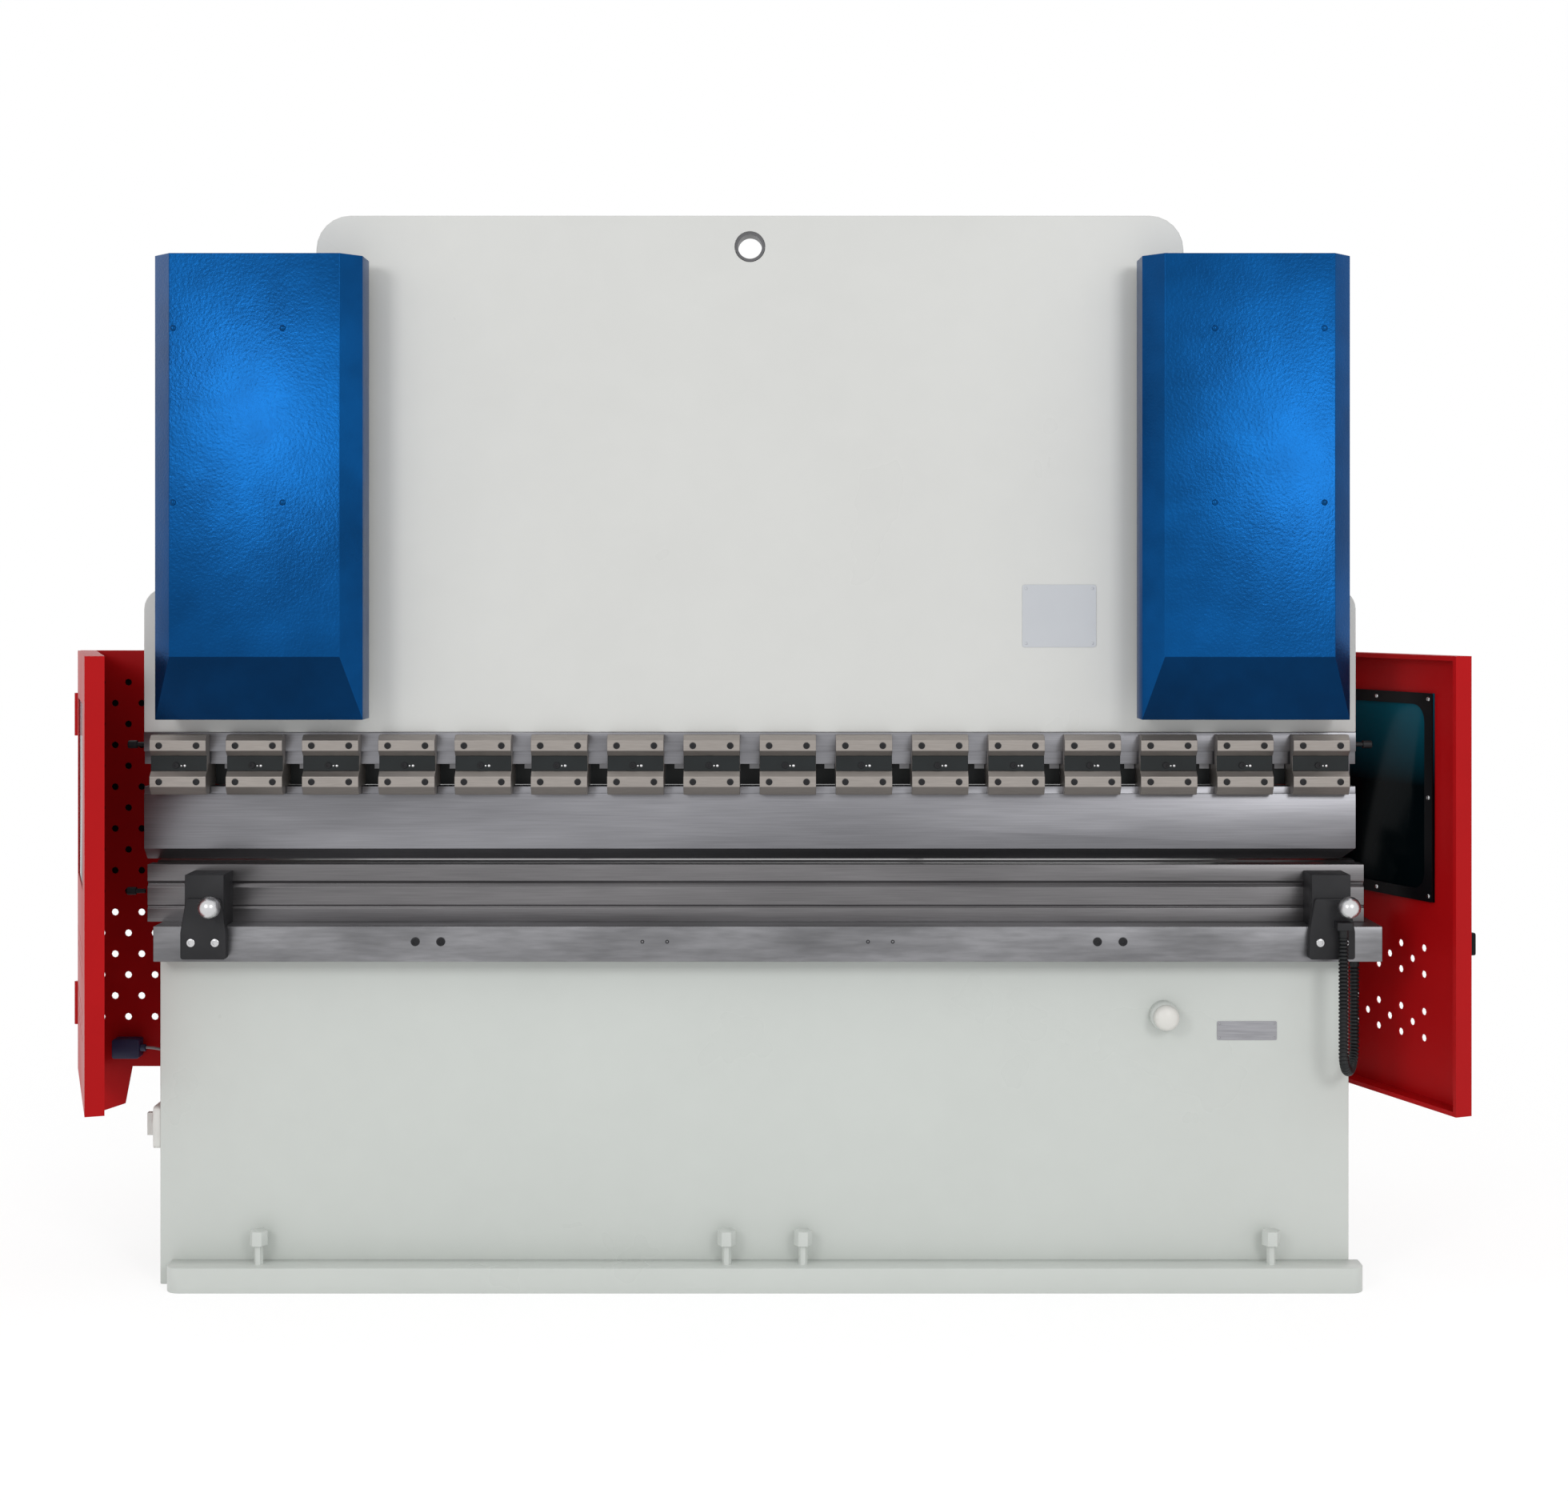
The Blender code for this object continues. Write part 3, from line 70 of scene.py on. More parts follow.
# Frame: side plates, cross beam and oil tank, cut from thick plate and welded together.
# They are sprayed with ivory enamel, which dries smooth with a faint ripple.
def finish(name, colour, roughness, metallic=0.0, stretch=(1, 1, 1), spread=0.05, patch=0.04, grain=0.0,
           size=300, shine=0.5, shaded_slopes=(), shade=1.0):
    """A paint, plastic or metal whose tone varies with stretched fine noise and with broad patches.

    Tone = (1 +- spread by the fine noise) * (1 +- patch by the broad noise), and grain bumps the surface.
    A shaded slope is a face that runs along X between two edges (y, z) and looks down; it takes the tone
    times shade, which paints shade on it.
    """
    material = bpy.data.materials.new(name)
    material.use_nodes = True
    tree = material.node_tree
    shader = tree.nodes["Principled BSDF"]
    place = tree.nodes.new("ShaderNodeTexCoord").outputs["Object"]

    def noise(scale, factors):
        mapping = tree.nodes.new("ShaderNodeMapping")
        mapping.inputs["Scale"].default_value = factors
        texture = tree.nodes.new("ShaderNodeTexNoise")
        texture.inputs["Scale"].default_value = scale
        texture.inputs["Detail"].default_value = 4
        tree.links.new(place, mapping.inputs["Vector"])
        tree.links.new(mapping.outputs["Vector"], texture.inputs["Vector"])
        return texture.outputs["Fac"]

    def span(value, start, end, low, high):
        ranged = tree.nodes.new("ShaderNodeMapRange")
        ranged.interpolation_type = "SMOOTHSTEP"
        for socket, number in zip(("From Min", "From Max", "To Min", "To Max"), (start, end, low, high)):
            ranged.inputs[socket].default_value = number
        tree.links.new(value, ranged.inputs["Value"])
        return ranged.outputs["Result"]

    def product(one, two):
        times = tree.nodes.new("ShaderNodeMath")
        times.operation = "MULTIPLY"
        tree.links.new(one, times.inputs[0])
        tree.links.new(two, times.inputs[1])
        return times.outputs["Value"]

    def on_slope(start, end):
        """1 within SLOPE_REACH of the plane through both edges, n . P = n . start, and 0 elsewhere."""
        along = (Vector(end) - Vector(start)).normalized()
        outward = Vector((-along.y, along.x))
        height = tree.nodes.new("ShaderNodeVectorMath")
        height.operation = "DOT_PRODUCT"
        height.inputs[1].default_value = (0, outward.x, outward.y)
        tree.links.new(place, height.inputs[0])
        near = tree.nodes.new("ShaderNodeMath")
        near.operation = "COMPARE"
        near.inputs[1].default_value = outward.dot(Vector(start))
        near.inputs[2].default_value = SLOPE_REACH
        tree.links.new(height.outputs["Value"], near.inputs[0])
        return near.outputs["Value"]

    fine = noise(12, stretch)
    broad = noise(2.2, tuple(min(s, 3) for s in stretch))
    tone = product(span(fine, 0.2, 0.8, 1 - spread, 1 + spread), span(broad, 0.2, 0.8, 1 - patch, 1 + patch))
    # Painted shade: the tone on each shaded slope is multiplied by shade, darker where a face looks down.
    for start, end in shaded_slopes:
        tone = product(tone, span(on_slope(start, end), 0, 1, 1, shade))
    tint = tree.nodes.new("ShaderNodeVectorMath")
    tint.operation = "SCALE"
    tint.inputs[0].default_value = colour
    tree.links.new(tone, tint.inputs["Scale"])
    tree.links.new(tint.outputs["Vector"], shader.inputs["Base Color"])
    rough = span(broad, 0.2, 0.8, roughness * 0.85, min(1, roughness * 1.15))
    tree.links.new(rough, shader.inputs["Roughness"])
    shader.inputs["Metallic"].default_value = metallic
    shader.inputs["Specular IOR Level"].default_value = shine
    if grain:
        bump = tree.nodes.new("ShaderNodeBump")
        bump.inputs["Strength"].default_value = grain
        bump.inputs["Distance"].default_value = BUMP_HEIGHT
        tree.links.new(noise(size, (1, 1, 1)), bump.inputs["Height"])
        tree.links.new(bump.outputs["Normal"], shader.inputs["Normal"])
    return material


def soften(thing, width, angle=35):
    """Weld a piece, round its sharp edges and shade the rest smooth; flat faces keep their flat normals."""
    thing.modifiers.new("weld", "WELD").merge_threshold = WELD_GAP
    flat = thing.modifiers.new("flat faces", "DECIMATE")
    flat.decimate_type = "DISSOLVE"
    flat.angle_limit = math.radians(0.2)
    if width:
        edge = thing.modifiers.new("edges", "BEVEL")
        edge.width = width
        edge.segments = 2
        edge.limit_method = "ANGLE"
        edge.angle_limit = math.radians(angle)
        edge.harden_normals = True
    thing.data.shade_smooth()
    thing.data.set_sharp_from_angle(angle=math.radians(angle))


def dress(names, material, width=0.0015, angle=35, flat_sided=False):
    """Give carried-over CAD nodes their finish and soft edges; flat-sided ones are shaded flat."""
    for name in names.split():
        nodes[name].data.materials.clear()
        nodes[name].data.materials.append(material)
        soften(nodes[name], width, angle)
        if flat_sided:
            nodes[name].data.shade_flat()


SLOPE_REACH = 0.0006
BUMP_HEIGHT = 0.0006
WELD_GAP = 0.00002
ivory = finish("ivory_enamel", (0.67, 0.675, 0.655), 0.30, spread=0.008, patch=0.012, grain=0.03, size=90,
               shine=0.35)
dress("left_side_frame right_side_frame rear_cross_beam oil_tank", ivory, width=0.002)

# Cylinders: turned steel barrels bolted to the side frames and painted with them.
# Their piston rods are ground and polished, and screwed to the ram.
polished = finish("polished", (0.62, 0.62, 0.63), 0.30, 1.0, spread=0.03)
dress("left_cylinder right_cylinder", ivory, width=0.002)
dress("left_piston_rod right_piston_rod", polished, width=0.0004)


# Bed: the thick lower plate and its bolted foot, in a slightly greener enamel.
# A bare metal plate is riveted to its front at four corners.
def closed_grid(points, ring=False):
    """Points P(i, j) joined in quads, closed round j.

    A ring is closed round i too; anything else gets a flat cap at each end.
    """
    rows, columns = points.shape[:2]
    index = np.arange(rows * columns).reshape(rows, columns)
    if ring:
        index = np.vstack([index, index[:1]])
    ahead = np.roll(index, -1, axis=1)
    faces = np.stack([index[:-1], ahead[:-1], ahead[1:], index[1:]], axis=-1).reshape(-1, 4).tolist()
    if not ring:
        faces += [index[0].tolist(), index[-1].tolist()]
    return points.reshape(-1, 3), faces


def piece(name, shapes, material, body, width=0.0, angle=35):
    """One finished piece from a list of (points, faces), riding on a CAD body."""
    starts = np.cumsum([0] + [len(points) for points, faces in shapes])
    faces = [[start + i for i in face] for start, shape in zip(starts.tolist(), shapes) for face in shape[1]]
    mesh = bpy.data.meshes.new(name)
    mesh.from_pydata(np.concatenate([points for points, faces in shapes]), [], faces)
    bm = bmesh.new()
    bm.from_mesh(mesh)
    bmesh.ops.recalc_face_normals(bm, faces=bm.faces)
    bm.to_mesh(mesh)
    bm.free()
    mesh.materials.append(material)
    thing = bpy.data.objects.new(name, mesh)
    scene.collection.objects.link(thing)
    soften(thing, width, angle)
    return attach(thing, body)


def on_axis(axis, a, b, c):
    """Points with c along the X or Y axis and (a, b) across it."""
    a, b, c = np.broadcast_arrays(a, b, c)
    return np.stack({"X": (c, a, b), "Y": (a, c, b)}[axis], axis=-1)


def slab(outline, axis, start, end):
    """A plate: its outline (a, b) carried straight along the axis, from start to end."""
    a, b = np.asarray(outline).T
    return closed_grid(on_axis(axis, a, b, np.array([[start], [end]])))


def turned(profile, axis, centre, steps=20, ring=False):
    """A turned piece: P(i, t) = centre + r_i (cos(t), sin(t)), at distance c_i along the axis."""
    r, c = np.asarray(profile).T
    t = np.linspace(0, 2 * math.pi, steps, endpoint=False)
    return closed_grid(on_axis(axis, centre[0] + np.outer(r, np.cos(t)), centre[1] + np.outer(r, np.sin(t)),
                               c[:, None]), ring)


def repeated(shape, offsets):
    """The same shape at each offset: P_k = P + offset_k."""
    points, faces = shape
    moved = np.asarray(offsets, float)[:, None] + points
    shifts = np.arange(len(moved)) * len(points)
    return moved.reshape(-1, 3), [[shift + i for i in face] for shift in shifts.tolist() for face in faces]


def spots(xs, zs):
    """Offsets to every pair of a sideways place and a height."""
    x, z = np.meshgrid(xs, zs)
    return np.column_stack([x.ravel(), np.zeros(x.size), z.ravel()])


def corner_spots(x0, x1, z0, z1, inset):
    """Offsets to the four corners of a plate, drawn in by inset."""
    return spots((x0 + inset, x1 - inset), (z0 + inset, z1 - inset))


def round_rectangle(x0, x1, z0, z1, radius, steps=5):
    """A rectangle whose corners are quarter circles: centre_k + radius (cos(t), sin(t))."""
    t = np.radians([-90, 0, 90, 180])[:, None] + np.linspace(0, math.pi / 2, steps + 1)
    x = np.array([x1 - radius, x1 - radius, x0 + radius, x0 + radius])[:, None] + radius * np.cos(t)
    z = np.array([z0 + radius, z1 - radius, z1 - radius, z0 + radius])[:, None] + radius * np.sin(t)
    return np.stack([x.ravel(), z.ravel()], axis=1)


def dome_head(face, radius, height):
    """A low round head that stands out towards -Y: radius r cos(t) at height h sin(t)."""
    t = np.array([0, 0.4, 0.8, 1.2, 1.45])
    return turned(np.stack([radius * np.cos(t), face - height * np.sin(t)], axis=1), "Y", (0, 0), 14)


BLANK_PLATE = (1.225, 1.382, 0.640, 0.690)
BLANK_THICK = 0.0015
BLANK_CORNER = 0.004
RIVET_SIZE = (0.003, 0.0015)
RIVET_INSET = 0.007
bed_paint = finish("bed_enamel", (0.64, 0.67, 0.64), 0.30, spread=0.008, patch=0.015, grain=0.03, size=90,
                   shine=0.4)
plate_grey = finish("plate_grey", (0.33, 0.33, 0.35), 0.4, 0.8, stretch=(1, 20, 20), spread=0.15)
dress("bed bed_foot", bed_paint, width=0.003)
bed_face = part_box("bed")[0].y
blank_face = bed_face - BLANK_THICK
piece("blank_plate", [slab(round_rectangle(*BLANK_PLATE, BLANK_CORNER), "Y", blank_face, bed_face),
                      repeated(dome_head(blank_face, *RIVET_SIZE), corner_spots(*BLANK_PLATE, RIVET_INSET))],
      plate_grey, "frame", 0.0004)

# Ram: the heavy ivory plate that carries the tooling, with a steel bush in its lifting hole.
# A bare white plate is held to its front by four corner screws.
WHITE_PLATE = (0.719, 0.914, 1.669, 1.834)
WHITE_THICK = 0.002
WHITE_CORNER = 0.006
CORNER_SCREW_SIZE = (0.004, 0.002)
CORNER_SCREW_INSET = 0.010
BUSH_RADIUS = 0.0392
BUSH_BORE = 0.0320
BUSH_DROP = 0.082
BUSH_SUNK = 0.001
dress("ram", ivory, width=0.003, flat_sided=True)
ram_low, ram_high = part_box("ram")
ram_face = ram_low.y
white_face = ram_face - WHITE_THICK
white_enamel = finish("plate_white", (0.55, 0.57, 0.60), 0.35, spread=0.01)
piece("white_plate", [slab(round_rectangle(*WHITE_PLATE, WHITE_CORNER), "Y", white_face, ram_face),
                      repeated(dome_head(white_face, *CORNER_SCREW_SIZE),
                               corner_spots(*WHITE_PLATE, CORNER_SCREW_INSET))],
      white_enamel, "ram_body", 0.0005)
bush_steel = finish("bush_steel", (0.12, 0.12, 0.125), 0.4, 0.8, spread=0.1)
bush_front = ram_face + BUSH_SUNK
bush_rear = -ram_face
bush = [(BUSH_RADIUS, bush_front), (BUSH_RADIUS, bush_rear), (BUSH_BORE, bush_rear), (BUSH_BORE, bush_front)]
piece("lifting_bush", [turned(bush, "Y", (0, ram_high.z - BUSH_DROP), 32, ring=True)], bush_steel,
      "ram_body")

# Punch and its edge bar: ground tool steel, streaked along the bend and slightly oiled.
# The slideways and the torsion shaft at the back are of the same bare steel.
tool_steel = finish("tool_steel", (0.21, 0.21, 0.225), 0.34, 0.85, stretch=(0.5, 30, 30), spread=0.10,
                    patch=0.28)
dress("punch_rail punch", tool_steel, width=0.0008)
dress("left_ram_guide right_ram_guide torsion_shaft", tool_steel, width=0.001)


# Punch clamps: sixteen milled steel bodies that grip the punch, each with two bevelled bars on its front.
# Four black cap screws hold the bars; a dark plate between them has a set screw and two small bright pins.
# The slots between the clamps are filled with dark strips that are painted shade, with a steel step at the
# top.
def cap_head(face, radius, height):
    """A cap screw's head towards -Y, with a round socket sunk into it to 0.35 of its height."""
    return turned([(radius, face), (radius, face - height * 0.8), (radius * 0.88, face - height),
                   (radius * 0.55, face - height), (radius * 0.55, face - height * 0.35)], "Y", (0, 0), 16)


def rectangle(x0, x1, z0, z1):
    """Four corners, from the lower left one round by the right."""
    return np.array([(x0, z0), (x1, z0), (x1, z1), (x0, z1)])


CLAMP_COUNT = 16
BAR_BEVEL = 0.014
UPPER_BAR_HEIGHT = 0.055
LOWER_SLOPE_HEIGHT = 0.021
BAR_SCREW_SIZE = (0.0088, 0.0022)
BAR_SCREW_SUNK = 0.0001
BAR_SCREW_REACH = 0.049
UPPER_SCREW_DROP = 0.0275
LOWER_SCREW_RISE = 0.0345
PLATE_HALF = (0.0735, 0.0195)
PLATE_SUNK = 0.014
PLATE_THICK = 0.003
PLATE_RISE = 0.0035
SET_SCREW_SIZE = (0.008, 0.004)
SET_SCREW_SPOT = (-0.007, -0.005)
SMALL_PIN_SIZE = (0.003, 0.002)
SMALL_PIN_SPOT = (0.006, -0.006)
LARGE_PIN_SIZE = (0.004, 0.002)
LARGE_PIN_SPOT = (0.015, -0.006)
SLOT_OUTLINE = (-0.0255, 0.0255, 1.3020, 1.3595)
SLOT_DEPTHS = (0.0285, 0.0298)
LINE_OUTLINE = (-0.0255, 0.0255, 1.3900, 1.3915)
LINE_DEPTHS = (0.0292, 0.0298)
STEP_OUTLINE = (-0.0020, 0.0240, 1.3440, 1.3595)
STEP_DEPTHS = (0.0270, 0.0284)
clamp_names = [f"punch_clamp_{number:02d}" for number in range(1, CLAMP_COUNT + 1)]
clamp_x = np.array([sum(p.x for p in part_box(name)) / 2 for name in clamp_names])
slot_x = (clamp_x[:-1] + clamp_x[1:]) / 2
low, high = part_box(clamp_names[0])
bar_face = low.y
bar_foot = high.z - UPPER_BAR_HEIGHT
plate_face = bar_face + PLATE_SUNK
plate_z = (low.z + high.z) / 2 + PLATE_RISE
# Painted shade: the lower bevel of each bar faces down and is painted darker, at 0.65 of its tone.
shaded_bar_slopes = [((bar_face, bar_foot + BAR_BEVEL), (bar_face + BAR_BEVEL, bar_foot)),
              ((bar_face, low.z + LOWER_SLOPE_HEIGHT), (bar_face + BAR_BEVEL, low.z))]
clamp_steel = finish("clamp_steel", (0.31, 0.283, 0.262), 0.42, 0.75, stretch=(2, 30, 30), spread=0.07,
                     shaded_slopes=shaded_bar_slopes, shade=0.65)
dark_plate_and_slot_shade = finish("dark_plate_and_slot_shade", (0.010, 0.013, 0.014), 0.45, spread=0.2, shine=0.25)
screw_black = finish("screw_black", (0.014, 0.014, 0.016), 0.4, 0.3, spread=0.15, shine=0.3)
screw_bright = finish("screw_bright", (0.55, 0.55, 0.56), 0.25, 1.0, spread=0.1)
stained_steel = finish("stained_steel", (0.21, 0.21, 0.22), 0.36, 0.85, stretch=(1, 8, 8), spread=0.14,
                       patch=0.40)
dress(" ".join(clamp_names), clamp_steel, width=0.0012, angle=25, flat_sided=True)
# Painted shade: dark strips fill the slots between the clamps; a thin dark line also crosses each slot higher
# up.
piece("clamp_gap_strips", [repeated(slab(rectangle(*SLOT_OUTLINE), "Y", *SLOT_DEPTHS), spots(slot_x, [0])),
                           repeated(slab(rectangle(*LINE_OUTLINE), "Y", *LINE_DEPTHS), spots(slot_x, [0]))],
      dark_plate_and_slot_shade, "ram_body")
piece("clamp_gap_steps", [repeated(slab(rectangle(*STEP_OUTLINE), "Y", *STEP_DEPTHS), spots(slot_x, [0]))],
      stained_steel, "ram_body")
bar_screw_x = np.concatenate([clamp_x - BAR_SCREW_REACH, clamp_x + BAR_SCREW_REACH])
bar_screw_z = (high.z - UPPER_SCREW_DROP, low.z + LOWER_SCREW_RISE)
bar_screw = cap_head(bar_face + BAR_SCREW_SUNK, *BAR_SCREW_SIZE)
piece("clamp_screws", [repeated(bar_screw, spots(bar_screw_x, bar_screw_z)),
                       repeated(cap_head(plate_face, *SET_SCREW_SIZE),
                                spots(clamp_x + SET_SCREW_SPOT[0], [plate_z + SET_SCREW_SPOT[1]]))],
      screw_black, "ram_body")
middle_plate = slab(rectangle(-PLATE_HALF[0], PLATE_HALF[0], -PLATE_HALF[1], PLATE_HALF[1]), "Y", plate_face,
                    plate_face + PLATE_THICK)
piece("clamp_plates", [repeated(middle_plate, spots(clamp_x, [plate_z]))], dark_plate_and_slot_shade, "ram_body",
      0.0008)
piece("clamp_adjusters", [repeated(dome_head(plate_face, *pin_size), spots(clamp_x + x, [plate_z + z]))
                          for pin_size, (x, z) in ((SMALL_PIN_SIZE, SMALL_PIN_SPOT),
                                                   (LARGE_PIN_SIZE, LARGE_PIN_SPOT))],
      screw_bright, "ram_body")


# Stop pins: turned steel pins with a wider head, blackened against rust.
# They are screwed into both ends of the edge bar, so that the punch can't slide out.
def stop_pin(sign, end):
    """A turned pin that stands out from end: a thin shank, then a wider head with a chamfered nose."""
    radius = (SHANK_RADIUS, SHANK_RADIUS, HEAD_RADIUS, HEAD_RADIUS, NOSE_RADIUS)
    reach = np.array([0, SHANK_LENGTH, SHANK_LENGTH, PIN_LENGTH - NOSE_LENGTH, PIN_LENGTH])
    return turned(np.column_stack([radius, sign * (end + reach)]), "X", (0, 0), 16)


SHANK_RADIUS = 0.006
SHANK_LENGTH = 0.024
HEAD_RADIUS = 0.0105
NOSE_RADIUS = 0.009
NOSE_LENGTH = 0.002
PIN_LENGTH = 0.048
BAR_PIN = (0, -0.010, 1.411)
bar_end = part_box("punch_rail")[1].x
piece("bar_end_pins", [repeated(stop_pin(sign, bar_end), [BAR_PIN]) for sign in (-1, 1)], screw_black,
      "ram_body")

# Die and table rail: a block die with grooved faces on a ground steel rail, both dark and stained from use.
# Cap screws hold the rail to the bed, and one stop pin sits in the die's left end.
DIE_PIN = (0, -0.020, 1.024)
RAIL_SCREW_HEIGHT = 0.911
RAIL_SCREW_SUNK = 0.0005
LARGE_SCREW_SIZE = (0.0115, 0.003)
LARGE_SCREW_X = (-0.863, -0.797, 0.900, 0.966)
SMALL_SCREW_SIZE = (0.005, 0.0012)
SMALL_SCREW_X = (-0.276, -0.212, 0.307, 0.371)
die_steel = finish("die_steel", (0.165, 0.16, 0.165), 0.36, 0.85, stretch=(0.5, 40, 40), spread=0.14,
                   patch=0.25)
dress("lower_die", die_steel, width=0.0008)
dress("table_rail", stained_steel, width=0.0015)
rail_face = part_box("table_rail")[0].y + RAIL_SCREW_SUNK
piece("die_pin_and_rail_screws",
      [repeated(stop_pin(-1, bar_end), [DIE_PIN]),
       repeated(cap_head(rail_face, *LARGE_SCREW_SIZE), spots(LARGE_SCREW_X, [RAIL_SCREW_HEIGHT])),
       repeated(cap_head(rail_face, *SMALL_SCREW_SIZE), spots(SMALL_SCREW_X, [RAIL_SCREW_HEIGHT]))],
      screw_black, "frame")

# Die clamps: black brackets that press the die down, tightened by spindles with bright ball heads.
# Two bright cap screws hold each bracket to the rail.
BRACKET_FACE = -0.1850
BRACKET_SCREW_SIZE = (0.0105, 0.004)
BRACKET_SCREW_REACH = 0.031
BRACKET_SCREW_HEIGHT = 0.912
black_bracket = finish("black_bracket", (0.018, 0.018, 0.02), 0.5, 0.2, spread=0.15, grain=0.1, shine=0.3)
dress("left_die_clamp right_die_clamp", black_bracket, width=0.0015)
dress("left_clamp_knob right_clamp_knob", polished, width=0.0004)
bracket_x = np.array([sum(p.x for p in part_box(side + "_die_clamp")) / 2 for side in ("left", "right")])
bracket_screw_x = np.concatenate([bracket_x - BRACKET_SCREW_REACH, bracket_x + BRACKET_SCREW_REACH])
piece("bracket_screws", [repeated(cap_head(BRACKET_FACE, *BRACKET_SCREW_SIZE),
                                  spots(bracket_screw_x, [BRACKET_SCREW_HEIGHT]))],
      screw_bright, "frame")

# Conduit: a black ribbed plastic hose that hangs in a U from the right die clamp to the end of the rail.
# It is one flexible moulding, pushed into its sockets at both ends.
# A ring is carried along the U, and its radius shrinks between the ribs.
HOSE_RADIUS = 0.013
RIB_DEPTH = 0.0038
RIB_PITCH = 0.0095
PLAIN_END = 0.020
SOCKET_GAP = 0.0006
hose_black = finish("hose_black", (0.007, 0.008, 0.009), 0.42, grain=0.1, size=500, shine=0.3)
low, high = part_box("conduit")
hose_near = np.array((low.x + HOSE_RADIUS, low.y + HOSE_RADIUS, 0))
hose_far = np.array((high.x - HOSE_RADIUS, high.y - HOSE_RADIUS, 0))
bend = np.linalg.norm(hose_far - hose_near) / 2
across = (hose_far - hose_near) / (2 * bend)
upwards = np.array((0, 0, 1))
bend_z = low.z + HOSE_RADIUS + bend
drop = high.z - bend_z
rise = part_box("table_rail")[0].z - SOCKET_GAP - bend_z
hose_length = drop + math.pi * bend + rise


def hose_route(s):
    """Down by drop, round a half circle of radius bend through the angle turn, and up by rise."""
    turn = np.clip((s - drop) / bend, 0, math.pi)[:, None]
    straight = np.maximum(drop - s, 0) + np.maximum(s - drop - math.pi * bend, 0)
    middle = hose_near + across * bend * (1 - np.cos(turn))
    return middle + upwards * (bend_z - bend * np.sin(turn) + straight[:, None]), turn


def hose_surface(steps=16):
    """P(s, a) = route(s) + R(s) (cos(a) side + sin(a) up).

    R = radius - depth (0.5 + 0.5 cos(2 pi s / pitch)) ** 2, and the full radius near both ends.
    """
    s = np.linspace(0, hose_length, int(hose_length / RIB_PITCH * 6))
    a = np.linspace(0, 2 * math.pi, steps, endpoint=False)[:, None]
    middle, turn = hose_route(s)
    side = np.cross(across, upwards)
    up = np.cross(np.sin(turn) * across - np.cos(turn) * upwards, side)
    wave = (0.5 + 0.5 * np.cos(2 * math.pi * s / RIB_PITCH)) ** 2
    wave[np.minimum(s, hose_length - s) < PLAIN_END] = 0
    radius = (HOSE_RADIUS - RIB_DEPTH * wave)[:, None, None]
    return closed_grid(middle[:, None] + radius * (np.cos(a) * side + np.sin(a) * up[:, None]))


hose = piece("ribbed_conduit", [hose_surface()], hose_black, "frame", angle=70)
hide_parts("conduit")

# Cylinder covers: folded sheet with bevelled sides, in a blue paint with a fine orange-peel texture.
# Four round-headed screws hold each cover to the straps on its cylinder.
COVER_SLOPE_TOP = 1.647
COVER_SLOPE_DEPTH = 0.050
COVER_SCREW_SIZE = (0.008, 0.004)
COVER_SCREW_X = (-1.470, -1.190, 1.190, 1.470)
COVER_SCREW_Z = (2.043, 2.488)
cover_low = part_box("left_cylinder_cover")[0]
# Painted shade: the lower slope of each cover faces down and is painted darker, at 0.42 of its tone.
shaded_cover_slope = ((cover_low.y, COVER_SLOPE_TOP), (cover_low.y + COVER_SLOPE_DEPTH, cover_low.z))
blue = finish("blue_texture", (0.0016, 0.060, 0.205), 0.30, 0.85, spread=0.10, patch=0.24, grain=0.9,
              size=150, shine=0.2, shaded_slopes=[shaded_cover_slope], shade=0.42)
dress("left_cylinder_cover right_cylinder_cover", blue, width=0.0025, angle=12)
cover_screw = dome_head(cover_low.y, *COVER_SCREW_SIZE)
piece("cover_screws", [repeated(cover_screw, spots(COVER_SCREW_X, COVER_SCREW_Z))], blue, "frame")


# Guards: red enamelled sheet panels and pan doors with round holes; a black sheet behind the left panel
# paints shade into its upper holes.
# Each door has a tinted window in a black frame, held by bright screws, and the right door a black handle.
# A door is drawn along -Y from its hinge line, then turned about it by its angle.
def hung(shape, side):
    """Turn about the hinge line by the door's angle t, then move to the hinge.

    x' = hinge_x + x cos(t) - y sin(t), y' = hinge_y + x sin(t) + y cos(t).
    """
    points, faces = shape
    angle = math.radians(DOOR_ANGLE[side])
    x, y, z = points.T
    return np.stack([HINGE_X[side] + x * math.cos(angle) - y * math.sin(angle),
                     HINGE_Y + x * math.sin(angle) + y * math.cos(angle), z], axis=1), faces


def tinted():
    """Dark teal glazing with painted light that darkens downwards: colour = mix(dark, teal, (z - low) / (high
    - low)).
    """
    material = finish("window_teal", (0.002, 0.02, 0.03), 0.12, spread=0.1, shine=0.04)
    tree = material.node_tree
    coords = tree.nodes.new("ShaderNodeTexCoord")
    split = tree.nodes.new("ShaderNodeSeparateXYZ")
    ramp = tree.nodes.new("ShaderNodeValToRGB")
    height = tree.nodes.new("ShaderNodeMapRange")
    height.inputs["From Min"].default_value = WINDOW["low"]
    height.inputs["From Max"].default_value = WINDOW["high"]
    ramp.color_ramp.elements[0].color = (0.001, 0.003, 0.004, 1)
    ramp.color_ramp.elements[1].color = (0.004, 0.10, 0.15, 1)
    ramp.color_ramp.elements[0].position = 0.55
    tree.links.new(coords.outputs["Object"], split.inputs["Vector"])
    tree.links.new(split.outputs["Z"], height.inputs["Value"])
    tree.links.new(height.outputs["Result"], ramp.inputs["Fac"])
    tree.links.new(ramp.outputs["Color"], tree.nodes["Principled BSDF"].inputs["Base Color"])
    return material


